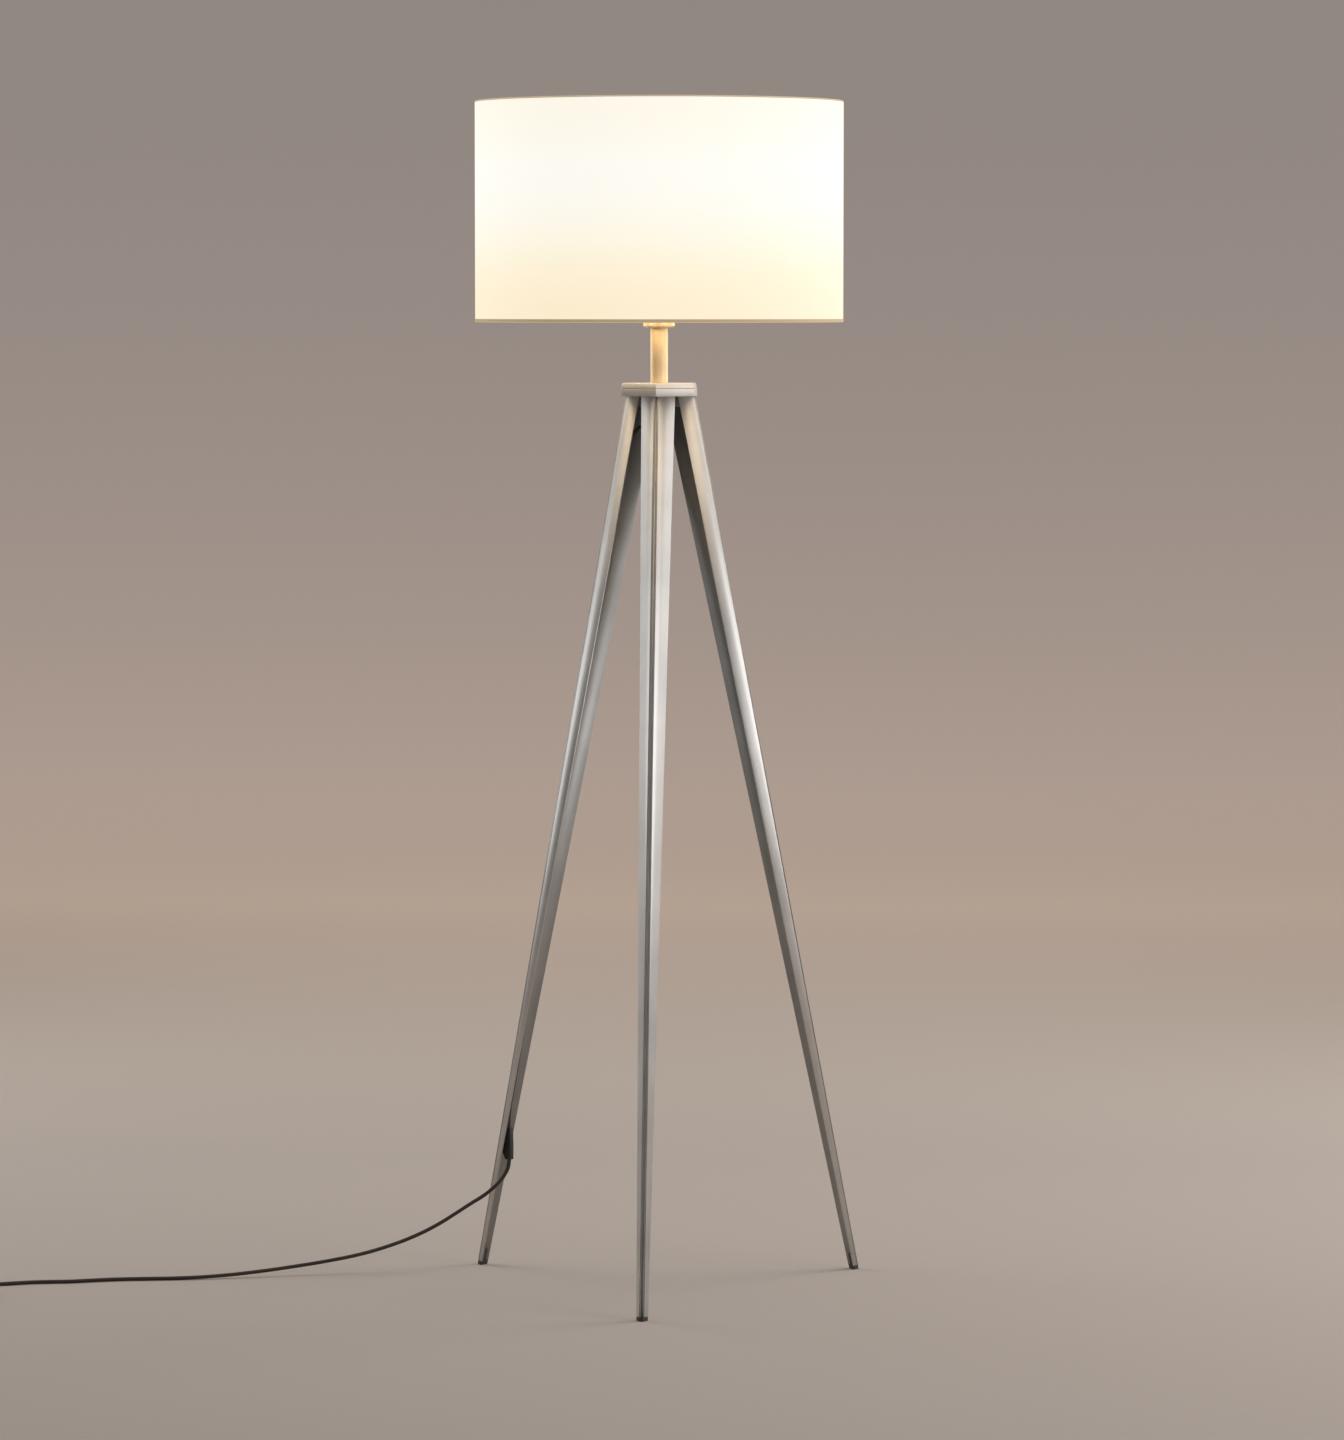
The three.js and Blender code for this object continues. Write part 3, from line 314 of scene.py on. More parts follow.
paper = Finish("backdrop_paper", Base_Color=colour(195, 184, 175), Roughness=0.95, Specular_IOR_Level=0.1,
               Emission_Strength=1.0)
_, paper_depth, paper_height = paper.axes(paper.place())
along_sheet = (paper_depth + paper_height) * (1 / GLOW_REACH)
stops = [(place / GLOW_REACH, tuple(share * v for v in colour(*tone)[:3])) for place, tone, share in FAR_GLOW]
paper.feed("Emission Color", paper.node("ShaderNodeValToRGB", {"stops": stops}, {"Fac": along_sheet}))

sheet = bmesh.new()
side_view = [(-SHEET_HALF_WIDTH, SHEET_FRONT, 0), (-SHEET_HALF_WIDTH, SHEET_BACK, 0),
             (-SHEET_HALF_WIDTH, SHEET_BACK, SHEET_HEIGHT)]
corners = [sheet.verts.new(point) for point in side_view]
lines = [sheet.edges.new(pair) for pair in zip(corners, corners[1:])]
wide = bmesh.ops.extrude_edge_only(sheet, edges=lines)["geom"]
moved = [part for part in wide if isinstance(part, bmesh.types.BMVert)]
bmesh.ops.translate(sheet, verts=moved, vec=(2 * SHEET_HALF_WIDTH, 0, 0))
bend = [edge for edge in sheet.edges if len(edge.link_faces) == 2]
bmesh.ops.bevel(sheet, geom=bend, offset=3.0, segments=32, profile=0.5, affect="EDGES", material=-1)
bmesh.ops.recalc_face_normals(sheet, faces=sheet.faces)
sheet_mesh = bpy.data.meshes.new("backdrop")
sheet.to_mesh(sheet_mesh)
sheet.free()
sheet_mesh.shade_smooth()
sheet_mesh.materials.append(paper.material)
backdrop = bpy.data.objects.new("backdrop", sheet_mesh)
bpy.context.collection.objects.link(backdrop)

# %% [markdown]
# Metal shows what it reflects, so the lights are large soft panels. The brightest stands to the right
# and a little behind, where the legs' right faces look. A weaker one does the same on the left, and
# a panel overhead lights the floor.

# %% Soft panels
def soft_panel(name, place, aim, width, height, power, tint=(1, 1, 1)):
    panel = bpy.data.lights.new(name, "AREA")
    panel.shape = "RECTANGLE"
    panel.size, panel.size_y = width, height
    panel.energy = power
    panel.color = tint
    stand = bpy.data.objects.new(name, panel)
    stand.location = place
    stand.rotation_euler = (Vector(aim) - Vector(place)).to_track_quat("-Z", "Y").to_euler()
    bpy.context.collection.objects.link(stand)


soft_panel("panel_right", (2.8, 1.4, 1.85), (0, 0, 1.1), 2.0, 2.5, 46, (1, 0.99, 0.99))
soft_panel("panel_left", (-2.9, 1.4, 1.75), (0, 0, 1.0), 2.0, 2.5, 30, (0.94, 0.98, 1))
soft_panel("panel_front", (3.3, -1.9, 1.75), (0, 0, 1.2), 1.6, 1.2, 30, (1, 0.98, 0.99))
soft_panel("panel_top", (0, 0.6, 4.2), (0, 0.6, 0), 4.0, 3.0, 56, (1, 0.96, 0.93))
soft_panel("panel_behind", (0.6, -9, 1.6), (0, 0, 0.9), 3.0, 2.0, 34, (1, 0.98, 0.97))

def warm_lamp(name, turn, radius, height, power):
    glow = bpy.data.lights.new(name, "POINT")
    glow.energy = power
    glow.color = (1, 0.7, 0.38)
    glow.shadow_soft_size = 0.012
    stand = bpy.data.objects.new(name, glow)
    stand.location = AXIS + Vector((radius * sin(radians(turn)), -radius * cos(radians(turn)), height))
    bpy.context.collection.objects.link(stand)


for i, turn in enumerate((-110, -35, 35, 110)):
    warm_lamp(f"under_shade_{i + 1}", turn, 0.032, shade_low.z + 0.012, 0.06)

world = bpy.data.worlds.new("room")
bpy.context.scene.world = world
world.use_nodes = True
world.node_tree.nodes["Background"].inputs["Color"].default_value = (0.42, 0.41, 0.40, 1)
world.node_tree.nodes["Background"].inputs["Strength"].default_value = 0.35

# %% [markdown]
# ## Helpers for making pieces
# Each piece starts as a bmesh. `piece` turns it into an object, shades it smooth except where faces
# meet sharply, lets it ride with the part it stands for, hides that part, and gives it its finish's material.

# %% Finish a piece
record = frame["record"]
BODIES = {node: body for body, nodes in record["behaviour"]["bodies"].items() for node in nodes}


def piece(name, bm, finish, *stands_for, home=None, sharp=35):
    mesh = bpy.data.meshes.new(name)
    bm.to_mesh(mesh)
    bm.free()
    for one in finish if isinstance(finish, list) else [finish]:
        mesh.materials.append(one.material)
    mesh.shade_smooth()
    mesh.set_sharp_from_angle(angle=radians(sharp))
    made = bpy.data.objects.new(name, mesh)
    bpy.context.collection.objects.link(made)
    home = home or stands_for[0]
    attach(made, BODIES[home])
    if stands_for:
        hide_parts(*stands_for)
    print(name, len(mesh.polygons), "faces,", [round(size / MM, 1) for size in made.dimensions], "mm")
    return made


# %% [markdown]
# Round pieces are turned, as on a lathe: a profile in the XZ plane is spun about an axis. The full
# turn's first and last ring are merged, and sharp rims are then eased with a small bevel, because
# no real edge is perfectly sharp and the bevel is what catches the light.

# %% Turn a profile, ease its edges
def merged(bm):
    bmesh.ops.remove_doubles(bm, verts=bm.verts, dist=0.001 * MM)
    bmesh.ops.recalc_face_normals(bm, faces=bm.faces)


def ease(bm, radius, steps=3, angle=30, only=None):
    def chosen(edge):
        if len(edge.link_faces) != 2 or edge.calc_face_angle(0) < radians(angle):
            return False
        return only is None or only(edge)

    edges = [edge for edge in bm.edges if chosen(edge)]
    settings = dict(offset_type="OFFSET", profile=0.5, affect="EDGES", clamp_overlap=True, material=-1)
    bmesh.ops.bevel(bm, geom=edges, offset=radius, segments=steps, **settings)


def turned(profile, steps=96, closed=True, about=AXIS, rim=0, rim_steps=3):
    bm = bmesh.new()
    points = [bm.verts.new((about.x + r * MM, about.y, z * MM)) for r, z in profile]
    lines = [bm.edges.new(pair) for pair in zip(points, points[1:])]
    if closed:
        lines.append(bm.edges.new((points[-1], points[0])))
    turn = dict(cent=about, axis=(0, 0, 1), angle=2 * pi, steps=steps, use_merge=True)
    bmesh.ops.spin(bm, geom=points + lines, **turn)
    merged(bm)
    if rim:
        ease(bm, rim, rim_steps)
    return bm


def joined(*parts):
    whole = parts[0]
    for part in parts[1:]:
        spare = bpy.data.meshes.new("spare")
        part.to_mesh(spare)
        part.free()
        whole.from_mesh(spare)
        bpy.data.meshes.remove(spare)
    return whole


# %% [markdown]
# Flat-sided pieces start from a copy of the engineering part. Its mesh is loose triangles, so the copy
# is merged first, its flat triangles are dissolved into whole faces, and then the edges can be eased.

# %% Copy a part and ease it
def eased_copy(node, radius, steps=3, angle=30, only=None):
    bm = bmesh.new()
    bm.from_mesh(bpy.data.objects[node].data)
    bmesh.ops.remove_doubles(bm, verts=bm.verts, dist=0.01 * MM)
    bmesh.ops.dissolve_limit(bm, angle_limit=radians(1), verts=bm.verts, edges=bm.edges)
    if radius:
        ease(bm, radius, steps, angle, only)
    return bm


def top_of(node):
    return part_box(node)[1].z / MM


def foot_of(node):
    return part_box(node)[0].z / MM


print("helpers ready")

# %% [markdown]
# ## Satin nickel
# The legs, hub, stem and lampholder cup are plated steel with a fine satin grain. On a leg the grain
# runs along the fold, so it follows a map laid on the strip before it was folded. On round pieces the
# polishing ran round them, so the grain is thin rings: noise that changes fast along Z and slowly
# across.

# %% Satin nickel, two directions of grain
NICKEL = (colour(208, 206, 203), colour(219, 217, 214))
# The stem and cup get a warm copy of the nickel: a painted reflection of the shade's warm glow on plain nickel.
GLOW_TINTED_NICKEL = (colour(240, 217, 178), colour(246, 226, 190))
# The legs' inner faces get a darker copy of the same nickel: painted shade inside the open channel.
SHADED_INNER_NICKEL = (colour(188, 187, 184), colour(200, 199, 196))


def satin_nickel(name, grain_of, tones=NICKEL):
    nickel = Finish(name, Metallic=1.0, Specular_IOR_Level=0.5)
    grain, cloud = grain_of(nickel)
    nickel.feed("Base Color", nickel.mix(cloud.between(0.3, 0.75), *tones))
    nickel.feed("Roughness", 0.46 + grain * 0.12 + cloud * 0.06)
    nickel.bump(grain, 0.02 * MM, 0.35)
    return nickel


def grain_along_leg(finish):
    laid = finish.laid("grain", (2600, 9, 1))
    return finish.noise(laid, 1, 3, 0.6), finish.noise(finish.place(), 14, 3)


def grain_round(finish):
    return finish.noise(finish.place((40, 40, 4200)), 1, 3, 0.6), finish.noise(finish.place(), 18, 3)


def grain_flat(finish):
    return finish.noise(finish.place((30, 3600, 3600)), 1, 3, 0.6), finish.noise(finish.place(), 18, 3)


leg_nickel = satin_nickel("nickel_leg", grain_along_leg)
shaded_leg_inside = satin_nickel("nickel_leg_inside", grain_along_leg, SHADED_INNER_NICKEL)
glow_tinted_round_nickel = satin_nickel("nickel_round_glow_tinted", grain_round, GLOW_TINTED_NICKEL)
hub_nickel = satin_nickel("nickel_hub", grain_flat)
print("nickel ready")

# %% [markdown]
# ## Legs
# A leg is a strip of sheet folded into a channel that is open towards the lamp's axis: two flanges
# that meet in a small groove pressed in along the outer edge. It narrows towards the floor. Half of
# the section is drawn at the foot and mirrored, the line is extruded up and spread to its size at the
# hub, the folds are bevelled round, and Solidify gives the sheet its wall.

# %% The folded strip
LEG_TOP, LEG_FOOT = top_of("leg_front") * MM, foot_of("leg_front") * MM
SPREAD_FLOOR, SPREAD_HUB = 298.6 * MM, 55 * MM
SIDE_FLOOR, SIDE_HUB = 15 * MM, 44 * MM
GROOVE_WIDTH, GROOVE_DEPTH = 3.6 * MM, 3.2 * MM
MOUTH_DEPTH = 2 * MM / tan(radians(30))
SHEET = 1.4 * MM
FOLD = 0.6 * MM


def leg_edge(z):
    return SPREAD_FLOOR + (SPREAD_HUB - SPREAD_FLOOR) * z / LEG_TOP


def leg_side(z):
    return SIDE_FLOOR + (SIDE_HUB - SIDE_FLOOR) * z / LEG_TOP


def section(z):
    """Half of the strip's section, from a flange's free edge to the groove's floor."""
    edge, side = -leg_edge(z), leg_side(z)
    lip, back = edge + MOUTH_DEPTH, edge + side * cos(radians(30))
    half = [(side / 2, back), (GROOVE_WIDTH / 2, lip), (GROOVE_WIDTH / 2, lip + GROOVE_DEPTH)]
    return half + [(-x, y) for x, y in reversed(half)]


def folded_leg(degrees):
    bm = bmesh.new()
    foot = [bm.verts.new((x, y, LEG_FOOT)) for x, y in section(LEG_FOOT)]
    strip = [bm.edges.new(pair) for pair in zip(foot, foot[1:])]
    grown = bmesh.ops.extrude_edge_only(bm, edges=strip)["geom"]
    top = {tuple(vert.co): (x, y) for vert, (x, y) in zip(foot, section(LEG_TOP))}
    for vert in (part for part in grown if isinstance(part, bmesh.types.BMVert)):
        vert.co = (*top[tuple(vert.co)], LEG_TOP)
    bmesh.ops.recalc_face_normals(bm, faces=bm.faces)
    flange = max(bm.faces, key=lambda face: face.calc_center_median().x)
    if flange.normal.x < 0:
        bmesh.ops.reverse_faces(bm, faces=bm.faces)
    ease(bm, FOLD, 5, 20)
    layer = bm.loops.layers.uv.new("grain")
    for face in bm.faces:
        for corner in face.loops:
            x, y, z = corner.vert.co
            corner[layer].uv = (x + 0.3 * (y + leg_edge(z)), z)
    bmesh.ops.rotate(bm, verts=bm.verts, matrix=Matrix.Rotation(radians(degrees), 3, "Z"))
    bmesh.ops.translate(bm, verts=bm.verts, vec=AXIS)
    return bm


for name, degrees in (("front", 0), ("right", 120), ("left", -120)):
    leg = piece(f"{name}_leg", folded_leg(degrees), [leg_nickel, shaded_leg_inside], f"leg_{name}")
    wall = leg.modifiers.new("wall", "SOLIDIFY")
    # The sheet's inner side takes the darker nickel: painted shade inside the channel.
    wall.material_offset = 1
    wall.thickness = SHEET
    wall.offset = -1
    wall.use_even_offset = True

# %% [markdown]
# ## Hub
# A thick hexagonal plate takes the legs' screws, and a thinner cover with leaning sides hides them.
# Both keep the engineering part's shape, holes included, with their edges eased by less than a
# millimetre.

# %% Hub
hub_plate = piece("hub_body", eased_copy("hub_plate", 0.3 * MM), hub_nickel, "hub_plate")
hub_cover = piece("hub_lid", eased_copy("hub_cover", 0.35 * MM), hub_nickel, "hub_cover")

# %% [markdown]
# ## Stem and lampholder cup
# Both are turned tubes. The cup's floor runs into its wall through a rounded corner, and its open rim
# is hidden inside the shade.

# %% Stem and cup
STEM_RADIUS, STEM_BORE = 11.5, 10.0
CUP_RADIUS, CUP_BORE, CUP_HOLE = 20.5, 19.1, 5.3

stem_low, stem_high = foot_of("stem_tube"), top_of("stem_tube")
stem_profile = [(STEM_BORE, stem_low), (STEM_RADIUS, stem_low), (STEM_RADIUS, stem_high), (STEM_BORE, stem_high)]
# The stem and cup wear the warm-tinted nickel: a painted reflection of the shade's warm glow.
piece("stem", turned(stem_profile, 96, rim=0.3 * MM), glow_tinted_round_nickel, "stem_tube")

cup_low, cup_high = foot_of("holder_cup"), top_of("holder_cup")
cup_profile = [
    (CUP_HOLE, cup_low), (CUP_RADIUS, cup_low), (CUP_RADIUS, cup_high),
    (CUP_BORE, cup_high), (CUP_BORE, cup_low + 2), (CUP_HOLE, cup_low + 2),
]
cup = turned(cup_profile, 96)
ease(cup, 2.6 * MM, 6, only=lambda edge: all(
    vert.co.z < (cup_low + 0.1) * MM and hypot(vert.co.x, vert.co.y - AXIS_Y) > 15 * MM for vert in edge.verts))
piece("lampholder_cup", cup, glow_tinted_round_nickel, "holder_cup")

# %% [markdown]
# ## Shade
# The drum is cotton laminated on a clear backing, wrapped round two wire rings, lapped at the back and
# turned over the wires at both rims. Light comes through the cloth, so it glows: near white where the
# bulb is, and creamier towards the lower rim. The glow is an emission that depends only on height, and
# the weave darkens it a little between the threads. The weave follows a map with one unit to a metre,
# so its threads keep their size all round.

# %% Shade cloth
THREAD = 0.7 * MM
GLOW = [
    (0.0, colour(255, 238, 207)[:3]), (0.12, colour(255, 243, 215)[:3]), (0.3, colour(255, 249, 230)[:3]),
    (0.55, colour(255, 252, 243)[:3]), (0.8, colour(255, 253, 246)[:3]), (1.0, colour(255, 250, 236)[:3]),
]


def threads(finish, pitch):
    across, up, _ = finish.axes(finish.laid("weave"))
    warp = (across * (2 * pi / pitch)).sine()
    weft = (up * (2 * pi / pitch)).sine()
    slub = finish.noise(finish.laid("weave", (12, 900, 1)), 1, 3, 0.6) + finish.noise(finish.laid("weave", (900, 12, 1)), 1, 3, 0.6)
    return warp * weft * 0.5 + 0.5, slub * 0.5


def shade_cloth(name, strength, base, glow=GLOW):
    cloth = Finish(name, Base_Color=base, Roughness=0.9, Specular_IOR_Level=0.15, Emission_Strength=strength)
    weave, slub = threads(cloth, THREAD)
    height = cloth.axes(cloth.place())[2].between(shade_low.z, shade_high.z)
    lit = cloth.node("ShaderNodeValToRGB", {"stops": glow}, {"Fac": height})
    shadow = 1 - (1 - weave) * 0.05 - (slub - 0.5).size() * 0.12
    cloth.feed("Emission Color", cloth.mix(1.0, lit, shadow, "MULTIPLY"))
    cloth.feed("Base Color", cloth.mix(weave, base, tuple(v * 0.8 for v in base[:3]) + (1,)))
    cloth.bump(weave + slub, 0.12 * MM, 0.5)
    return cloth


outer_cloth = shade_cloth("shade_cloth", 0.93, colour(150, 146, 138))
inner_backing = shade_cloth("shade_backing", 0.8, colour(235, 225, 205), [(0.0, (1, 0.8, 0.56)), (1.0, (1, 0.86, 0.66))])

SHADE_RADIUS, SHADE_WALL = 240.0, 1.1
LINER = 0.5
drum_low, drum_high = foot_of("shade_drum"), top_of("shade_drum")


def lay_weave(bm):
    """A map of metres round and metres up; a face that crosses the back is kept whole."""
    layer = bm.loops.layers.uv.new("weave")
    for face in bm.faces:
        middle = face.calc_center_median() - AXIS
        facing = atan2(middle.x, -middle.y)
        for corner in face.loops:
            place = corner.vert.co - AXIS
            turn = atan2(place.x, -place.y)
            turn += 2 * pi * round((facing - turn) / (2 * pi))
            corner[layer].uv = (turn * hypot(place.x, place.y), place.z)
    return bm


def wall_of_cloth(inner, outer, low, high, steps=256):
    return lay_weave(turned([(inner, low), (outer, low), (outer, high), (inner, high)], steps))


split = SHADE_RADIUS - LINER
piece("shade_wall", wall_of_cloth(split, SHADE_RADIUS - 0.2, drum_low + 0.6, drum_high - 0.6), outer_cloth, "shade_drum")
piece("shade_lining", wall_of_cloth(SHADE_RADIUS - SHADE_WALL, split - 0.05, drum_low + 0.8, drum_high - 0.8),
      inner_backing, home="shade_drum")

# %% [markdown]
# At each rim the cloth is turned over the wire and glued inside. The fold is thicker than the wall and
# the wire lies behind it, so no light comes through: it shows as a thin tan edge. Its tan base colour and
# faint warm emission are painted warm lamplight on the white cloth. Where the cloth's two ends overlap at
# the back, a narrow lap does the same more weakly.

# %% Turned hems and the lap
# Painted warm lamplight: the tan base colour and faint warm emission on white cloth.
lamplit_hem_cloth = Finish("shade_hem", Roughness=0.9, Specular_IOR_Level=0.15, Emission_Strength=0.26)
hem_weave, hem_slub = threads(lamplit_hem_cloth, THREAD)
lamplit_hem_cloth.feed("Base Color", lamplit_hem_cloth.mix(hem_weave, colour(204, 184, 150), colour(178, 158, 124)))
lamplit_hem_cloth.feed("Emission Color", lamplit_hem_cloth.mix(hem_slub, (1, 0.78, 0.5, 1), (0.9, 0.7, 0.44, 1)))
lamplit_hem_cloth.bump(hem_weave + hem_slub, 0.12 * MM, 0.5)

LOWER_FOLD, UPPER_FOLD = 4.6, 1.9
INNER_FLAP = 9.0


def hem(edge, outside, inside):
    """The cloth from its outer end, round the rim and up the inner side; edge is the rim's height."""
    way = 1 if outside > 0 else -1
    outer, inner = SHADE_RADIUS, SHADE_RADIUS - 5.6
    profile = [
        (outer - 0.15, edge + outside), (outer + 0.1, edge + outside - way * 0.4), (outer + 0.1, edge + way * 1.2),
        (outer - 0.5, edge + way * 0.3), (outer - 1.6, edge), (inner + 1.6, edge), (inner + 0.5, edge + way * 0.4),
        (inner, edge + way * 1.4), (inner + 0.3, edge + inside * 0.6), (inner + 2.6, edge + inside),
        (inner + 3.0, edge + inside), (inner + 0.9, edge + inside * 0.6), (inner + 0.6, edge + way * 1.6),
        (inner + 1.5, edge + way * 0.7), (outer - 1.5, edge + way * 0.7), (outer - 0.4, edge + way * 1.5),
    ]
    return lay_weave(turned(profile, 256))


piece("shade_hem_lower", hem(drum_low, LOWER_FOLD, INNER_FLAP), lamplit_hem_cloth, home="shade_drum")
piece("shade_hem_upper", hem(drum_high, -UPPER_FOLD, -INNER_FLAP), lamplit_hem_cloth, home="shade_drum")

LAP_TURN = radians(3.2)
lap_cloth = shade_cloth("shade_lap", 0.62, colour(150, 146, 138))
lap = bmesh.new()
lap_profile = [(SHADE_RADIUS - 0.3, drum_low + 5), (SHADE_RADIUS + 0.25, drum_low + 5),
               (SHADE_RADIUS + 0.25, drum_high - 2.4), (SHADE_RADIUS - 0.3, drum_high - 2.4)]
lap_points = [lap.verts.new((AXIS.x + r * MM, AXIS.y, z * MM)) for r, z in lap_profile]
lap_start = lap.faces.new(lap_points)
bmesh.ops.rotate(lap, verts=lap_points, cent=AXIS, matrix=Matrix.Rotation(radians(74) - LAP_TURN / 2, 3, "Z"))
bmesh.ops.spin(lap, geom=[lap_start], cent=AXIS, axis=(0, 0, 1), angle=LAP_TURN, steps=4)
merged(lap)
piece("shade_lap", lay_weave(lap), lap_cloth, home="shade_drum")

# %% [markdown]
# ## Wire frame
# The rims are held by two wire rings. From the lower one three spokes climb to a flat ring that sits on
# the lampholder. A wire is made as a curve with a round bevel, and turned into a mesh so that it can be
# joined with the rings into one welded piece.

# %% White-coated wire
white_coat = Finish("white_coat", IOR=1.5)
coat_place = white_coat.place()
coat_cloud = white_coat.noise(coat_place, 30, 3)
white_coat.feed("Base Color", white_coat.mix(coat_cloud, colour(236, 233, 226), colour(224, 220, 210)))
white_coat.feed("Roughness", 0.42 + coat_cloud * 0.16)
white_coat.bump(white_coat.noise(coat_place, 1400, 2), 0.03 * MM, 0.5)

WIRE, SPOKE = 3.2, 3.6
WIRE_RADIUS = 236.9


def wire_hoop(height, sides=12):
    circle = [(WIRE_RADIUS + WIRE / 2 * cos(2 * pi * i / sides), height + WIRE / 2 * sin(2 * pi * i / sides))
              for i in range(sides)]
    return turned(circle, 160)


def rod_along(points, diameter):
    wire, _ = along("spare_wire", points, diameter, white_coat, 6, 3)
    bpy.context.view_layer.update()
    evaluated = wire.evaluated_get(bpy.context.evaluated_depsgraph_get())
    bm = bmesh.new()
    bm.from_mesh(evaluated.to_mesh())
    evaluated.to_mesh_clear()
    bpy.data.objects.remove(wire)
    merged(bm)
    return bm


lower_wire = foot_of("shade_fitter") + WIRE / 2
ring_low, ring_high = foot_of("lower_shade_ring") + 4.3, foot_of("lower_shade_ring") + 6.3
RING_BORE, RING_EDGE = 19.0, 27.0
spokes = []
for degrees in (30, 150, 270):
    out = Vector((cos(radians(degrees)), sin(radians(degrees)), 0))
    side = [(WIRE_RADIUS - 0.4, lower_wire + 2.6), (WIRE_RADIUS - 8, lower_wire + 4.2), (200, lower_wire + 9.5),
            (120, lower_wire + 24.5), (48, lower_wire + 38), (36, ring_low + 0.6), (25, ring_low + 0.9)]
    spokes.append(rod_along([AXIS + out * r * MM + Vector((0, 0, z * MM)) for r, z in side], SPOKE * MM))
ring_profile = [(RING_BORE, ring_low), (RING_EDGE, ring_low), (RING_EDGE, ring_high), (RING_BORE, ring_high)]
centre_ring = turned(ring_profile, 96, rim=0.3 * MM)
piece("fitter", joined(wire_hoop(lower_wire), centre_ring, *spokes), white_coat, "shade_fitter")
piece("upper_wire", wire_hoop(foot_of("shade_upper_ring") + WIRE / 2), white_coat, "shade_upper_ring")
# %% [markdown]
# ## Plastics, plain metals, glass and ceramic
# Moulded plastic has a fine spark-eroded grain, and slight clouds in its gloss where hands have been.
# Zinc plate is patchy. Both are noise in Roughness and a very shallow bump.

# %% Moulded plastic and plain metal
def moulded(name, dark, light, gloss, grain=1100, depth=0.05):
    plastic = Finish(name, IOR=1.48, Specular_IOR_Level=0.5)
    place = plastic.place()
    cloud = plastic.noise(place, 45, 4, 0.6)
    plastic.feed("Base Color", plastic.mix(cloud, dark, light))
    plastic.feed("Roughness", gloss + cloud * 0.2)
    plastic.bump(plastic.noise(place, grain, 2), depth * MM, 0.6)
    return plastic


def plated(name, dull, bright, gloss, scale=(60, 60, 60)):
    metal = Finish(name, Metallic=1.0)
    place = metal.place(scale)
    patch = metal.noise(place, 1, 4, 0.6)
    fine = metal.noise(place, 22, 2)
    metal.feed("Base Color", metal.mix(patch.between(0.3, 0.7), dull, bright))
    metal.feed("Roughness", gloss + patch * 0.15 + fine * 0.1)
    metal.bump(fine, 0.03 * MM, 0.4)
    return metal


black_plastic = moulded("black_plastic", colour(26, 25, 24), colour(38, 37, 36), 0.38)
grey_plastic = moulded("grey_plastic", colour(74, 72, 70), colour(88, 86, 84), 0.4)
pad_plastic = moulded("pad_plastic", colour(52, 46, 43), colour(68, 61, 57), 0.6, 700, 0.08)
zinc = plated("zinc_plate", colour(150, 150, 148), colour(186, 187, 188), 0.3)
brass_strip = plated("brass_strip", colour(176, 140, 74), colour(206, 172, 104), 0.28)
rolled_cap = plated("rolled_cap", colour(168, 167, 163), colour(196, 195, 190), 0.22, (40, 40, 300))
pin_nickel = plated("pin_nickel", colour(196, 192, 184), colour(218, 214, 206), 0.16, (200, 40, 200))

ceramic = Finish("glazed_ceramic", IOR=1.55, Coat_Roughness=0.08)
ceramic_spots = ceramic.noise(ceramic.place(), 220, 3)
ceramic.feed("Base Color", ceramic.mix(ceramic_spots, colour(238, 233, 222), colour(226, 219, 205)))
ceramic.feed("Roughness", 0.25 + ceramic_spots * 0.2)

black_glass = Finish("black_glass", IOR=1.5)
glass_cloud = black_glass.noise(black_glass.place(), 150, 3)
black_glass.feed("Base Color", black_glass.mix(glass_cloud, colour(18, 18, 24), colour(34, 34, 44)))
black_glass.feed("Roughness", 0.1 + glass_cloud * 0.15)
print("plastics and metals ready")

# %% [markdown]
# ## Bulb
# A round opal bulb. Its glass is a turned profile, a short neck that swells into a ball, and glows
# warmly, a little less towards the neck where the light source doesn't reach. The screw cap's rolled
# thread is a wavy profile.

# %% Bulb
BALL_RADIUS, NECK_RADIUS = 32.5, 12.0
glass_low, glass_high = foot_of("bulb_glass"), top_of("bulb_glass")
ball_middle = glass_high - BALL_RADIUS

opal = Finish("opal_glass", Base_Color=colour(255, 248, 236), Roughness=0.25, IOR=1.5, Emission_Strength=1.2)
opal_height = opal.axes(opal.place())[2].between((glass_low + 6) * MM, (ball_middle + 6) * MM)
opal.feed("Emission Color", opal.mix(opal_height, (1, 0.62, 0.34, 1), (1, 0.84, 0.62, 1)))
opal_cloud = opal.noise(opal.place(), 25, 3)
opal.feed("Roughness", 0.18 + opal_cloud * 0.15)

BALL_STEPS = 28
ball_start = radians(148)
ball = [(BALL_RADIUS * sin(ball_start * (1 - i / BALL_STEPS)), ball_middle + BALL_RADIUS * cos(ball_start * (1 - i / BALL_STEPS)))
        for i in range(BALL_STEPS)]
neck = [(0, glass_low), (NECK_RADIUS, glass_low), (NECK_RADIUS + 0.4, glass_low + 8), (NECK_RADIUS + 1.6, glass_low + 16),
        (NECK_RADIUS + 3.2, glass_low + 24)]
piece("bulb_globe", turned([*neck, *ball, (0, glass_high)], 72, closed=False), opal, "bulb_glass")

CAP_RADIUS, THREAD_TURNS = 13.1, 4
THREAD_STEPS = 12
cap_low, cap_high = foot_of("bulb_cap"), top_of("bulb_cap")
cap_wave = [(CAP_RADIUS - 0.45 - 0.45 * cos(2 * pi * i / THREAD_STEPS), cap_low + (cap_high - cap_low) * i / (THREAD_STEPS * THREAD_TURNS))
            for i in range(THREAD_STEPS * THREAD_TURNS + 1)]
piece("bulb_screw_cap", turned([*cap_wave, (11.4, cap_high), (11.4, cap_low)], 64), rolled_cap, "bulb_cap", sharp=50)

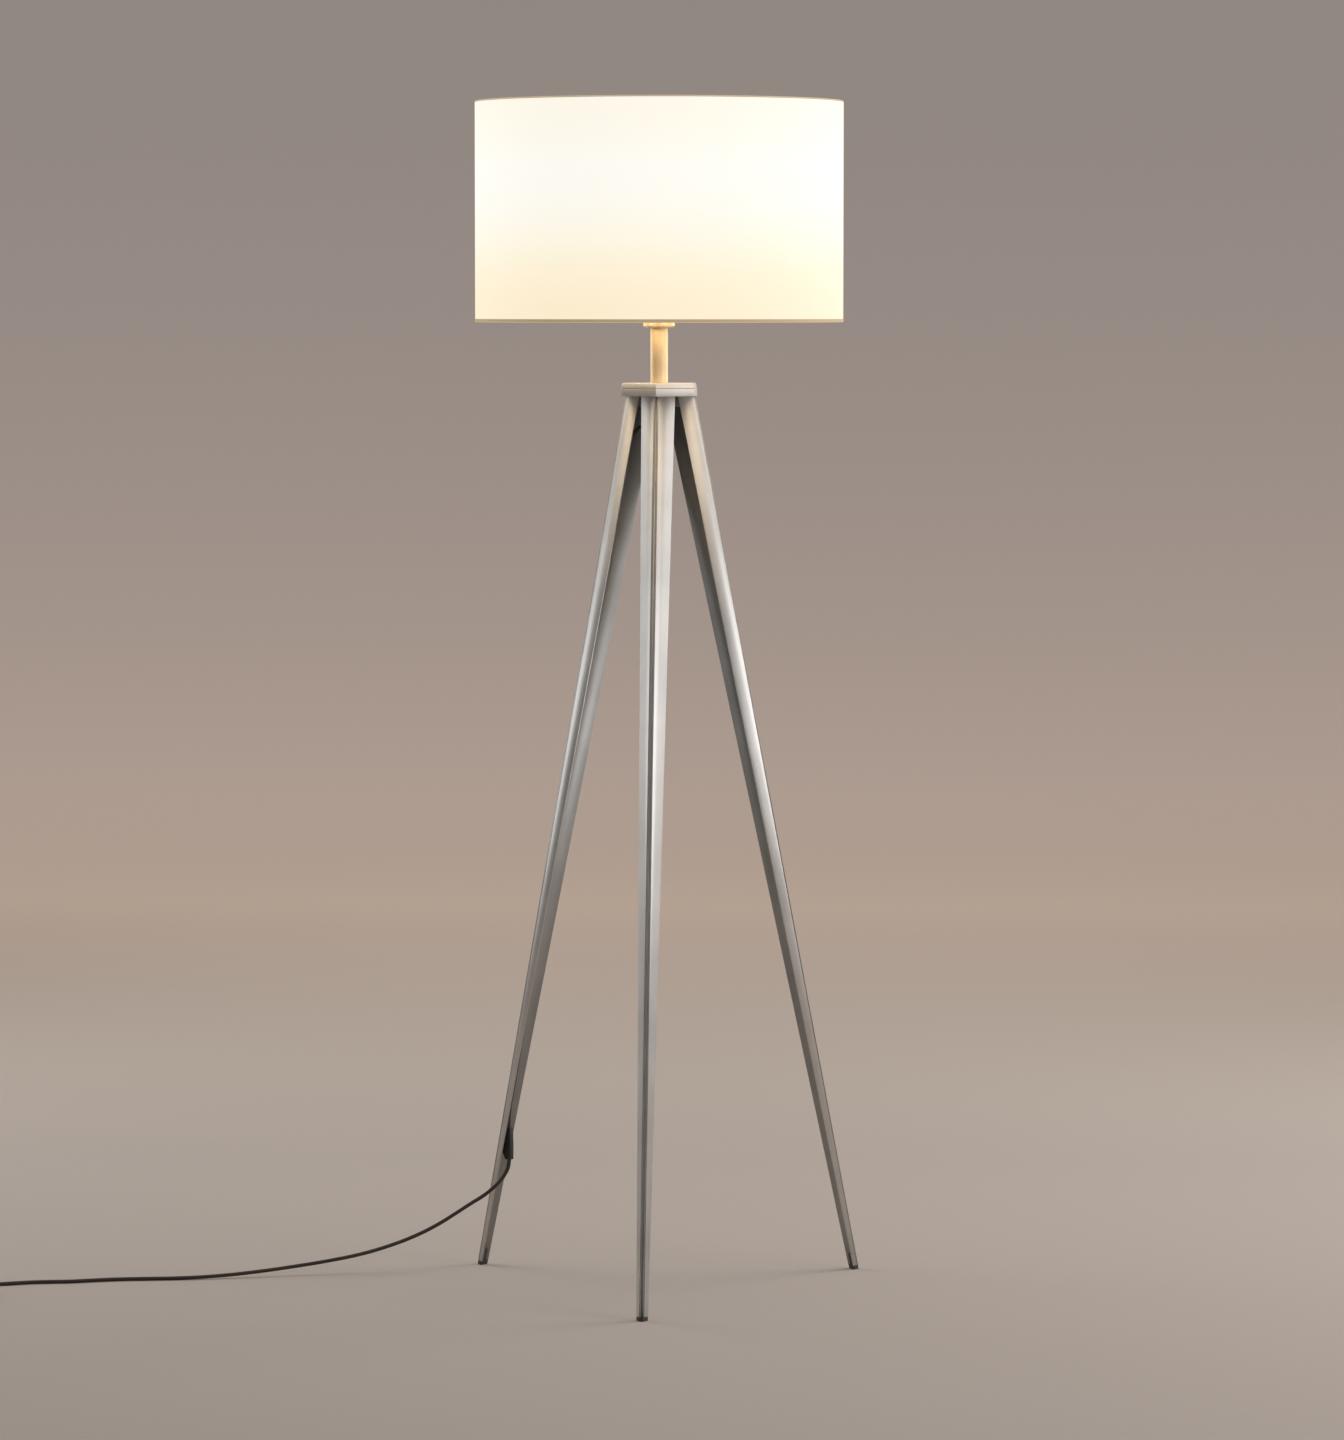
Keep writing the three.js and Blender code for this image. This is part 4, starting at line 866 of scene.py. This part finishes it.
insulator_low, insulator_high = foot_of("bulb_insulator"), top_of("bulb_insulator")
insulator_profile = [(0, insulator_low), (5, insulator_low), (7.5, insulator_low + 1.6), (12, insulator_high), (0, insulator_high)]
piece("bulb_glass_button", turned(insulator_profile, 48, closed=False, rim=0.25 * MM), black_glass, "bulb_insulator")
tip_low, tip_high = foot_of("bulb_tip"), top_of("bulb_tip")
tip_profile = [(0, tip_low), (3.4, tip_low), (4.4, tip_low + 0.7), (4.4, tip_high), (0, tip_high)]
piece("bulb_solder_tip", turned(tip_profile, 32, closed=False, rim=0.2 * MM), zinc, "bulb_tip")

# %% [markdown]
# ## Lampholder
# Above the cup stands a black threaded sleeve, and two rings on it clamp the shade's flat ring between
# them. The thread is a saw-edged profile. The hidden ceramic insert, contacts and nut keep the
# engineering parts' shape.

# %% Sleeve and shade rings
def thread_profile(bore, crest, root, low, high, pitch):
    turns = int((high - low) / pitch)
    side = [(crest, low)]
    for i in range(turns):
        side += [(crest, low + pitch * (i + 0.15)), (root, low + pitch * (i + 0.5)), (crest, low + pitch * (i + 0.85))]
    return [(bore, low), *side, (crest, high), (bore, high)]


sleeve_low, sleeve_high = foot_of("holder_sleeve"), top_of("holder_sleeve")
piece("threaded_sleeve", turned(thread_profile(14, 18.7, 17.9, sleeve_low, sleeve_high, 2.4), 80), black_plastic,
      "holder_sleeve")

RING_RADIUS = 28.0
lower_low, lower_high = foot_of("lower_shade_ring"), top_of("lower_shade_ring")
lower_profile = [(RING_BORE, lower_low), (RING_RADIUS, lower_low), (RING_RADIUS, lower_high), (RING_BORE, lower_high)]
piece("shade_ring_below", turned(lower_profile, 96, rim=0.6 * MM), black_plastic, "lower_shade_ring")
piece("shade_ring_above", eased_copy("upper_shade_ring", 0.35 * MM, 2, 40), black_plastic, "upper_shade_ring")

# %% [markdown]
# ## Under the hub
# A threaded tube runs from the lampholder down through the stem and the hub, and a nut under a washer
# pulls them together.

# %% Nut, washer and threaded tube
piece("clamp_nut", eased_copy("hub_nut", 0.4 * MM, 2, 40), zinc, "hub_nut")
washer_low, washer_high = foot_of("hub_washer"), top_of("hub_washer")
washer_profile = [(5.3, washer_low), (11, washer_low), (11, washer_high), (5.3, washer_high)]
piece("clamp_washer", turned(washer_profile, 64, rim=0.25 * MM), zinc, "hub_washer")
tube_low, tube_high = foot_of("threaded_tube"), top_of("threaded_tube")
piece("nipple", turned(thread_profile(3.5, 5.0, 4.5, tube_low, tube_high, 1.0), 32), zinc, "threaded_tube", sharp=60)

for node, finish in {
    "holder_insert": ceramic, "centre_contact": brass_strip, "side_contact": brass_strip, "holder_nut": zinc,
    "leg_block_front": zinc, "leg_block_right": zinc, "leg_block_left": zinc, "switch_module": grey_plastic,
    **{f"leg_screw_{side}_{i}": zinc for side in ("front", "right", "left") for i in (1, 2)},
}.items():
    carried = frame["nodes"][node]
    carried.data.materials.clear()
    carried.data.materials.append(finish.material)
print("carried-over parts have their finishes")

# %% [markdown]
# ## Cable inside the lamp
# The cable comes out of the threaded tube under the hub, bends over into the left leg's channel and
# runs down it behind the groove.

# %% Inner cable
TUBE_END, LEG_PLANE = tube_low, radians(-120)
CABLE_DEPTH = 11.06
RELIEF_FOOT, RELIEF_HEAD = foot_of("strain_relief"), top_of("strain_relief")
EXIT_RADIUS, CROSSING = 243.547, 244.91


def in_leg_plane(r, z):
    return AXIS + Vector((sin(LEG_PLANE) * r * MM, -cos(LEG_PLANE) * r * MM, z * MM))


inner_side = [(0, tube_high + 1.5), (0, 1180), (0, TUBE_END), (2, TUBE_END - 10), (9, TUBE_END - 19),
              (20, TUBE_END - 25), (31, TUBE_END - 31), (41, TUBE_END - 41), (50, TUBE_END - 56), (60, TUBE_END - 80)]
for height in (TUBE_END - 115, TUBE_END - 145, 900, 701, 514, 351, RELIEF_HEAD + 60, RELIEF_HEAD + 25):
    inner_side.append((leg_edge(height * MM) / MM - CABLE_DEPTH, height))
inner_side += [(CROSSING, RELIEF_HEAD), ((CROSSING + EXIT_RADIUS) / 2, (RELIEF_HEAD + RELIEF_FOOT) / 2),
               (EXIT_RADIUS, RELIEF_FOOT)]
inner_cable, _ = along("cable_in_lamp", [in_leg_plane(r, z) for r, z in inner_side], CORD, sheath)
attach(inner_cable, BODIES["inner_cable"])
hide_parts("inner_cable")

# %% [markdown]
# ## Strain relief
# A black moulded plug pushed into the left leg's channel. Its side view is a wedge that is thickest
# near the bottom, where the cord comes out. The wedge is drawn as one face, extruded across, eased, and
# its underside is inset and pushed up to hollow it.

# %% Strain relief
RELIEF_WIDTH = 8.4
RELIEF_DEPTH = 10.9
HOOD_WALL, HOOD_DEPTH = 1.1, 7.0
HEEL = RELIEF_FOOT + 14


def leg_face(z):
    return (leg_edge(z * MM) - leg_side(z * MM) * cos(radians(30))) / MM


relief_side = [
    (EXIT_RADIUS - 4.0, RELIEF_FOOT), (EXIT_RADIUS + 4.0, RELIEF_FOOT),
    (leg_edge(HEEL * MM) / MM - RELIEF_DEPTH, HEEL), (leg_edge(RELIEF_HEAD * MM) / MM - RELIEF_DEPTH, RELIEF_HEAD),
    (leg_face(RELIEF_HEAD) - 2.5, RELIEF_HEAD), (EXIT_RADIUS - 4.2, HEEL),
]
relief = bmesh.new()
across = Vector((cos(LEG_PLANE), sin(LEG_PLANE), 0))
wedge = relief.faces.new([relief.verts.new(in_leg_plane(r, z) - across * RELIEF_WIDTH / 2 * MM) for r, z in relief_side])
far_side = bmesh.ops.extrude_face_region(relief, geom=[wedge])["geom"]
bmesh.ops.translate(relief, verts=[part for part in far_side if isinstance(part, bmesh.types.BMVert)],
                    vec=across * RELIEF_WIDTH * MM)
bmesh.ops.recalc_face_normals(relief, faces=relief.faces)
underside = min(relief.faces, key=lambda face: face.calc_center_median().z)
bmesh.ops.inset_region(relief, faces=[underside], thickness=HOOD_WALL * MM, use_even_offset=True)
hollow = bmesh.ops.extrude_face_region(relief, geom=[underside])["geom"]
bmesh.ops.translate(relief, verts=[part for part in hollow if isinstance(part, bmesh.types.BMVert)],
                    vec=(0, 0, HOOD_DEPTH * MM))
bmesh.ops.delete(relief, geom=[underside], context="FACES_ONLY")
ease(relief, 0.5 * MM, 3, 20)
piece("cord_hood", relief, black_plastic, "strain_relief")

# %% [markdown]
# ## Feet
# Each leg stands in a dark plastic shoe, a copy of the engineering part with its edges eased.

# %% Feet
for side in ("front", "right", "left"):
    piece(f"shoe_{side}", eased_copy(f"foot_pad_{side}", 0.4 * MM, 2, 25), pad_plastic, f"foot_pad_{side}")

# %% [markdown]
# ## Foot switch
# The switch lies on the floor and is pressed with a shoe, so its cover is low with a wide rounded
# shoulder. The cover starts as a cube: its corners are bevelled round, its top rim is bevelled, and the
# top face is bridged to a circle that becomes the button's hole.

# %% Switch base and cover
switch_low, switch_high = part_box("switch_base")
cover_low, cover_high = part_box("switch_cover")
SWITCH = Vector(((switch_low.x + switch_high.x) / 2, (switch_low.y + switch_high.y) / 2, 0))
SWITCH_CORNER, SHOULDER, BUTTON_HOLE = 16 * MM, 3.6 * MM, 13.3 * MM
SWITCH_WALL = 2 * MM


def rounded_box(low, high, corner, segments=10):
    bm = bmesh.new()
    bmesh.ops.create_cube(bm, size=1)
    bmesh.ops.scale(bm, verts=bm.verts, vec=high - low)
    bmesh.ops.translate(bm, verts=bm.verts, vec=(low + high) / 2)
    upright = [edge for edge in bm.edges if abs(edge.verts[0].co.z - edge.verts[1].co.z) > 0.1 * MM]
    bmesh.ops.bevel(bm, geom=upright, offset=corner, segments=segments, profile=0.5, affect="EDGES", material=-1)
    return bm


def facing(bm, way):
    return max(bm.faces, key=lambda face: face.normal.z * way * 10 + face.calc_center_median().z * way)


cover = rounded_box(cover_low, cover_high, SWITCH_CORNER)
rim = list(facing(cover, 1).edges)
ease(cover, SHOULDER, 6, 30, only=lambda edge: edge in rim)
lid = facing(cover, 1)
lid_rim = list(lid.edges)
bmesh.ops.delete(cover, geom=[lid, facing(cover, -1)], context="FACES_ONLY")
hole = bmesh.ops.create_circle(cover, cap_ends=False, radius=BUTTON_HOLE, segments=64,
                               matrix=Matrix.Translation((SWITCH.x, SWITCH.y, cover_high.z)))
hole_rim = [edge for edge in cover.edges if all(vert in hole["verts"] for vert in edge.verts)]
bmesh.ops.bridge_loops(cover, edges=lid_rim + hole_rim)
inward = bmesh.ops.extrude_edge_only(cover, edges=hole_rim)["geom"]
bmesh.ops.translate(cover, verts=[part for part in inward if isinstance(part, bmesh.types.BMVert)], vec=(0, 0, -2.2 * MM))
bmesh.ops.recalc_face_normals(cover, faces=cover.faces)
ease(cover, 0.5 * MM, 3, 60, only=lambda edge: all(
    abs((vert.co - SWITCH).xy.length - BUTTON_HOLE) < 0.1 * MM and vert.co.z > cover_high.z - 0.1 * MM for vert in edge.verts))
switch_cover = piece("switch_lid", cover, black_plastic, "switch_cover")
shell = switch_cover.modifiers.new("wall", "SOLIDIFY")
shell.thickness, shell.offset = SWITCH_WALL * 0.7, -1

base = rounded_box(switch_low, switch_high, SWITCH_CORNER)
ease(base, 0.8 * MM, 3, 60)
piece("switch_tray", base, black_plastic, "switch_base")

# %% [markdown]
# The button is turned with a shallow dish in its top, and rides on its own body, because it travels.
# The two sleeves that take the strain where the cord enters and leaves are turned cones with grooves.

# %% Button, sleeves and screws
button_low, button_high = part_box("switch_button")
BUTTON_RADIUS, FLANGE_RADIUS = 13.0, 15.0
low, high = button_low.z / MM, button_high.z / MM
button_profile = [(0, low), (FLANGE_RADIUS, low), (FLANGE_RADIUS, low + 2), (BUTTON_RADIUS, low + 2), (BUTTON_RADIUS, high - 0.8),
                  (BUTTON_RADIUS - 0.8, high), (BUTTON_RADIUS - 2.2, high), (8, high - 0.9), (4, high - 1.3), (0, high - 1.4)]
piece("button", turned(button_profile, 64, closed=False, about=SWITCH, rim=0.2 * MM, rim_steps=2), grey_plastic, "switch_button")

SLEEVE_BORE, SLEEVE_WIDE, SLEEVE_NARROW, GROOVES = 2.7, 5.0, 3.7, 4
for node, way in (("switch_sleeve_in", 1), ("switch_sleeve_out", -1)):
    near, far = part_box(node)
    middle_z = (near.z + far.z) / 2
    length = (far.y - near.y) / MM
    cone = [(SLEEVE_BORE, 0), (SLEEVE_WIDE, 0), (SLEEVE_WIDE, 1.5)]
    for i in range(GROOVES):
        start = 2.2 + i * (length - 3.4) / GROOVES
        for step, depth in ((0, 0), (0.5, 0.7), (1.3, 0.7), (1.8, 0)):
            share = (start + step) / length
            cone.append((SLEEVE_WIDE + (SLEEVE_NARROW - SLEEVE_WIDE) * share - depth, start + step))
    cone += [(SLEEVE_NARROW, length), (SLEEVE_BORE, length)]
    bm = turned(cone, 40, about=Vector((0, 0, 0)))
    start_y = near.y if way > 0 else far.y
    lay = Matrix.Translation((SWITCH.x, start_y, middle_z)) @ Matrix.Rotation(radians(-90 * way), 4, "X")
    bmesh.ops.transform(bm, matrix=lay, verts=bm.verts)
    piece("cord_sleeve_" + node[14:], bm, black_plastic, node)

for i in (1, 2):
    piece(f"tray_screw_{i}", eased_copy(f"switch_screw_{i}", 0.15 * MM, 2, 40), zinc, f"switch_screw_{i}")

# %% [markdown]
# ## Tie and plug
# The coil is held by a woven strap, and the plug is a moulded two-pin one. Its outline is the
# engineering part's, with a wide round edge, and each pin has a black sleeve on its first half.

# %% Tie, plug and pins
piece("coil_tie", eased_copy("cord_tie", 0.25 * MM, 2, 40), black_plastic, "cord_tie")
piece("plug_shell", eased_copy("plug_body", 2.6 * MM, 5, 50, only=lambda edge: abs(
    edge.verts[0].co.z - edge.verts[1].co.z) < 0.1 * MM), black_plastic, "plug_body")

PIN_RADIUS, SLEEVE_SHARE = 2.0, 0.52
for i in (1, 2):
    near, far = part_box(f"plug_pin_{i}")
    length = (far.y - near.y) / MM
    lay = Matrix.Translation(((near.x + far.x) / 2, near.y, (near.z + far.z) / 2)) @ Matrix.Rotation(radians(-90), 4, "X")
    root = length * SLEEVE_SHARE
    metal = [(0, 0.2), (PIN_RADIUS - 0.1, 0.2), (PIN_RADIUS - 0.1, root), (PIN_RADIUS, root), (PIN_RADIUS, length - 1.6),
             (PIN_RADIUS - 0.6, length - 0.5), (PIN_RADIUS - 1.3, length), (0, length)]
    bm = turned(metal, 32, closed=False, about=Vector((0, 0, 0)))
    bmesh.ops.transform(bm, matrix=lay, verts=bm.verts)
    piece(f"pin_{i}", bm, pin_nickel, f"plug_pin_{i}")
    jacket = [(PIN_RADIUS - 0.25, -0.2), (PIN_RADIUS, -0.2), (PIN_RADIUS, root), (PIN_RADIUS - 0.25, root)]
    bm = turned(jacket, 32, about=Vector((0, 0, 0)))
    bmesh.ops.transform(bm, matrix=lay, verts=bm.verts)
    piece(f"pin_jacket_{i}", bm, black_plastic, home=f"plug_pin_{i}")

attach(cord, BODIES["cord_lead"])
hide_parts("cord_lead", "cord_coil", "cord_tail")
